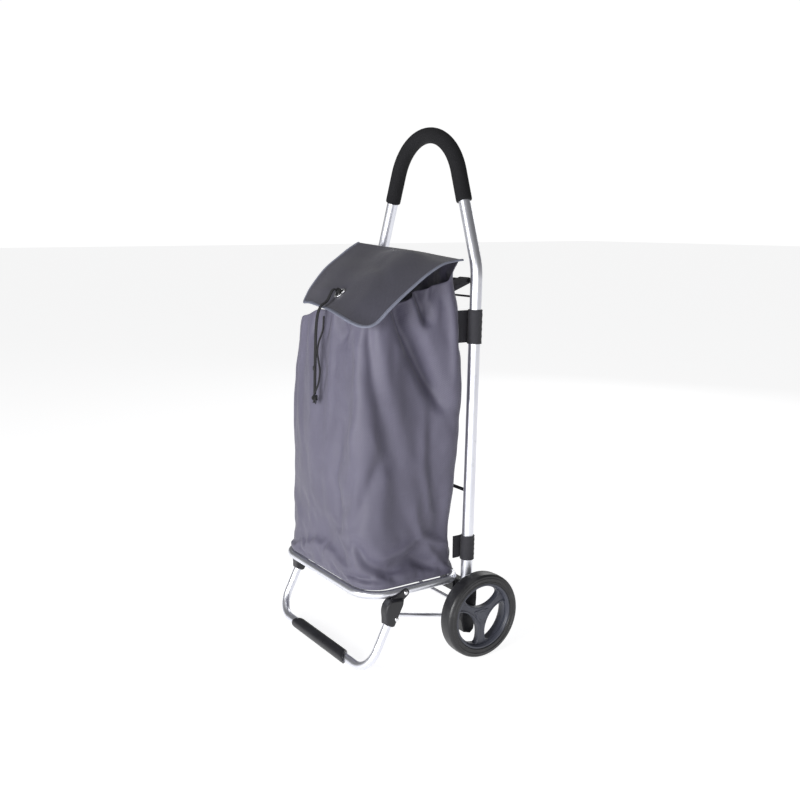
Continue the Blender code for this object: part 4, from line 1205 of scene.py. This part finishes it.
# ---------------------------------------------------------------- straps
def make_straps():
    """Sewn sleeves round the legs, each with a tab to the corner of the bag."""
    for side_name, side in SIDES:
        for name, low, high in (("upper", 0.599, 0.662), ("lower", 0.183, 0.23)):
            radius = LEG_RADIUS + GAP
            count = 14
            run = [0.0, 0.012] + [k / count for k in range(1, count)] + [0.988, 1.0]
            points = [Vector((side * LEG_X, leg_y(z), z))
                      for z in (low + (high - low) * share for share in run)]
            hem = {0.0: -0.0005, 0.012: 0.0, 0.988: 0.0, 1.0: -0.0005}
            wall = [radius + 0.0022 + hem.get(share, 0.0) + 0.00035 * math.sin(31 * share + side)
                    for share in run]
            bm = sleeve(bmesh.new(), points, wall, radius, 36, Y_AXIS)
            tab = bmesh.new()
            bmesh.ops.create_cube(tab, size=1.0)
            inner = side * (LEG_X - radius - 0.001)
            y_low, y_high = 0.0548, leg_y(low) - 0.001
            tab.transform(Matrix.Translation((inner, (y_low + y_high) / 2, (low + high) / 2))
                          @ Matrix.Diagonal((0.0026, y_high - y_low, high - low - 0.003, 1)))
            break_edges(tab, tab.edges)
            spare = bpy.data.meshes.new("tab")
            tab.to_mesh(spare)
            tab.free()
            bm.from_mesh(spare)
            bpy.data.meshes.remove(spare)
            publish(f"leg_strap_{name}_{side_name}", bm, "root", "webbing",
                    [f"strap_{name}_{side_name}"])
        moulding(f"rod_loop_{side_name}", f"hanger_loop_{side_name}", "root", "webbing", 0.0008, 3)


# ---------------------------------------------------------------- flap
def make_flap():
    bm = bmesh.new()
    across, down = 72, 60
    bmesh.ops.create_grid(bm, x_segments=across, y_segments=down, size=0.5)
    cloth = bm.loops.layers.uv.new("cloth")
    for face in bm.faces:
        for loop in face.loops:
            loop[cloth].uv = (loop.vert.co.x * 0.32, -loop.vert.co.y * 0.25)
    for vert in bm.verts:
        vert.co = flap_point(vert.co.x + 0.5, 0.5 - vert.co.y)
    here, normal = eyelet_place()
    inside = [vert for vert in bm.verts if (vert.co - here).length < 0.008]
    bmesh.ops.delete(bm, geom=inside, context="VERTS")
    piece = publish("flap_cover", bm, "flap", "flap_fabric", ["flap"], crease=180)
    thicken(piece, 0.0018, 0)
    flatten(piece)

    border = [(0, k / 40) for k in range(41)] + [(k / 60, 1) for k in range(1, 60)]
    border += [(1, 1 - k / 40) for k in range(41)]
    points = [flap_point(a, d) for a, d in border]
    places = []
    for i, (a, d) in enumerate(border):
        ahead = (points[min(i + 1, len(points) - 1)] - points[max(i - 1, 0)]).normalized()
        inward = flap_normal(a, d).cross(ahead)
        if inward.dot(Vector((0, -0.05, 0.7)) - points[i]) < 0:
            inward = -inward
        inward.normalize()
        turn = Matrix((inward, ahead.cross(inward), ahead)).transposed().to_4x4()
        places.append(Matrix.Translation(points[i] + inward * 0.0026) @ turn)
    bm = draw_out(bmesh.new(), places, [(0.0038, 0.0019)] * len(places), 20)
    binding = publish("flap_tape", bm, "flap", "binding", ["flap_binding"], soft=True)

    profile = rounded_profile([(-0.0028, 0.0084, 0.0006), (-0.0028, 0.0122, 0.0006),
                               (0.0014, 0.0122, 0.0006),
                               (0.0032, 0.0104, 0.0012), (0.0028, 0.0084, 0.0006)])
    bm = spun(bmesh.new(), profile, (0, 0, 0), 1, 48, ring=True)
    turn = X_AXIS.rotation_difference(normal).to_matrix().to_4x4()
    bm.transform(Matrix.Translation(here) @ turn)
    publish("flap_eyelet", bm, "flap", "rivet_steel", ["eyelet"], soft=True)


# ---------------------------------------------------------------- studio
def make_studio():
    """A pale floor, a bright surround, and soft lights in front, beside, above and behind."""
    bm = bmesh.new()
    bmesh.ops.create_grid(bm, x_segments=2, y_segments=2, size=30.0)
    paint = Finish("studio_floor", (0.42, 0.42, 0.43), 0.85, emission_color=(1, 1, 1, 1),
                   emission_strength=0.84)
    floor = as_object("studio_floor", bm, outward=False)
    floor.data.materials.append(paint.material)
    floor.location.z = -0.0006

    world = bpy.data.worlds.new("studio")
    bpy.context.scene.world = world
    world.use_nodes = True
    sky = world.node_tree.nodes["Background"]
    sky.inputs["Color"].default_value = (1.0, 1.0, 1.0, 1)
    seen = world.node_tree.nodes.new("ShaderNodeLightPath")
    level = world.node_tree.nodes.new("ShaderNodeMath")
    level.operation = "MULTIPLY_ADD"
    level.inputs[1].default_value = 0.86
    level.inputs[2].default_value = 0.16
    world.node_tree.links.new(seen.outputs["Is Camera Ray"], level.inputs[0])
    world.node_tree.links.new(level.outputs[0], sky.inputs["Strength"])
    target = Vector((0.0, -0.05, 0.42))
    for name, seat, size, power in (("key", (0.7, -2.75, 0.9), 1.4, 80),
                                    ("side", (2.7, -1.3, 0.8), 1.0, 18),
                                    ("top", (0.0, -0.2, 2.9), 1.8, 9),
                                    ("back", (-1.6, 2.4, 1.5), 1.4, 16)):
        lamp = bpy.data.lights.new(name, "AREA")
        lamp.shape = "DISK"
        lamp.size = size
        lamp.energy = power
        light = bpy.data.objects.new(name, lamp)
        bpy.context.scene.collection.objects.link(light)
        light.location = seat
        light.rotation_mode = "QUATERNION"
        light.rotation_quaternion = (target - Vector(seat)).to_track_quat("-Z", "Y")
    bpy.context.scene.view_settings.view_transform = "Standard"


set_camera()
make_drawstring()
make_upright()
make_base()
make_stand()
make_links()
for side_name, side in SIDES:
    make_wheel(side_name, side)
make_bag()
make_straps()
make_flap()
make_studio()
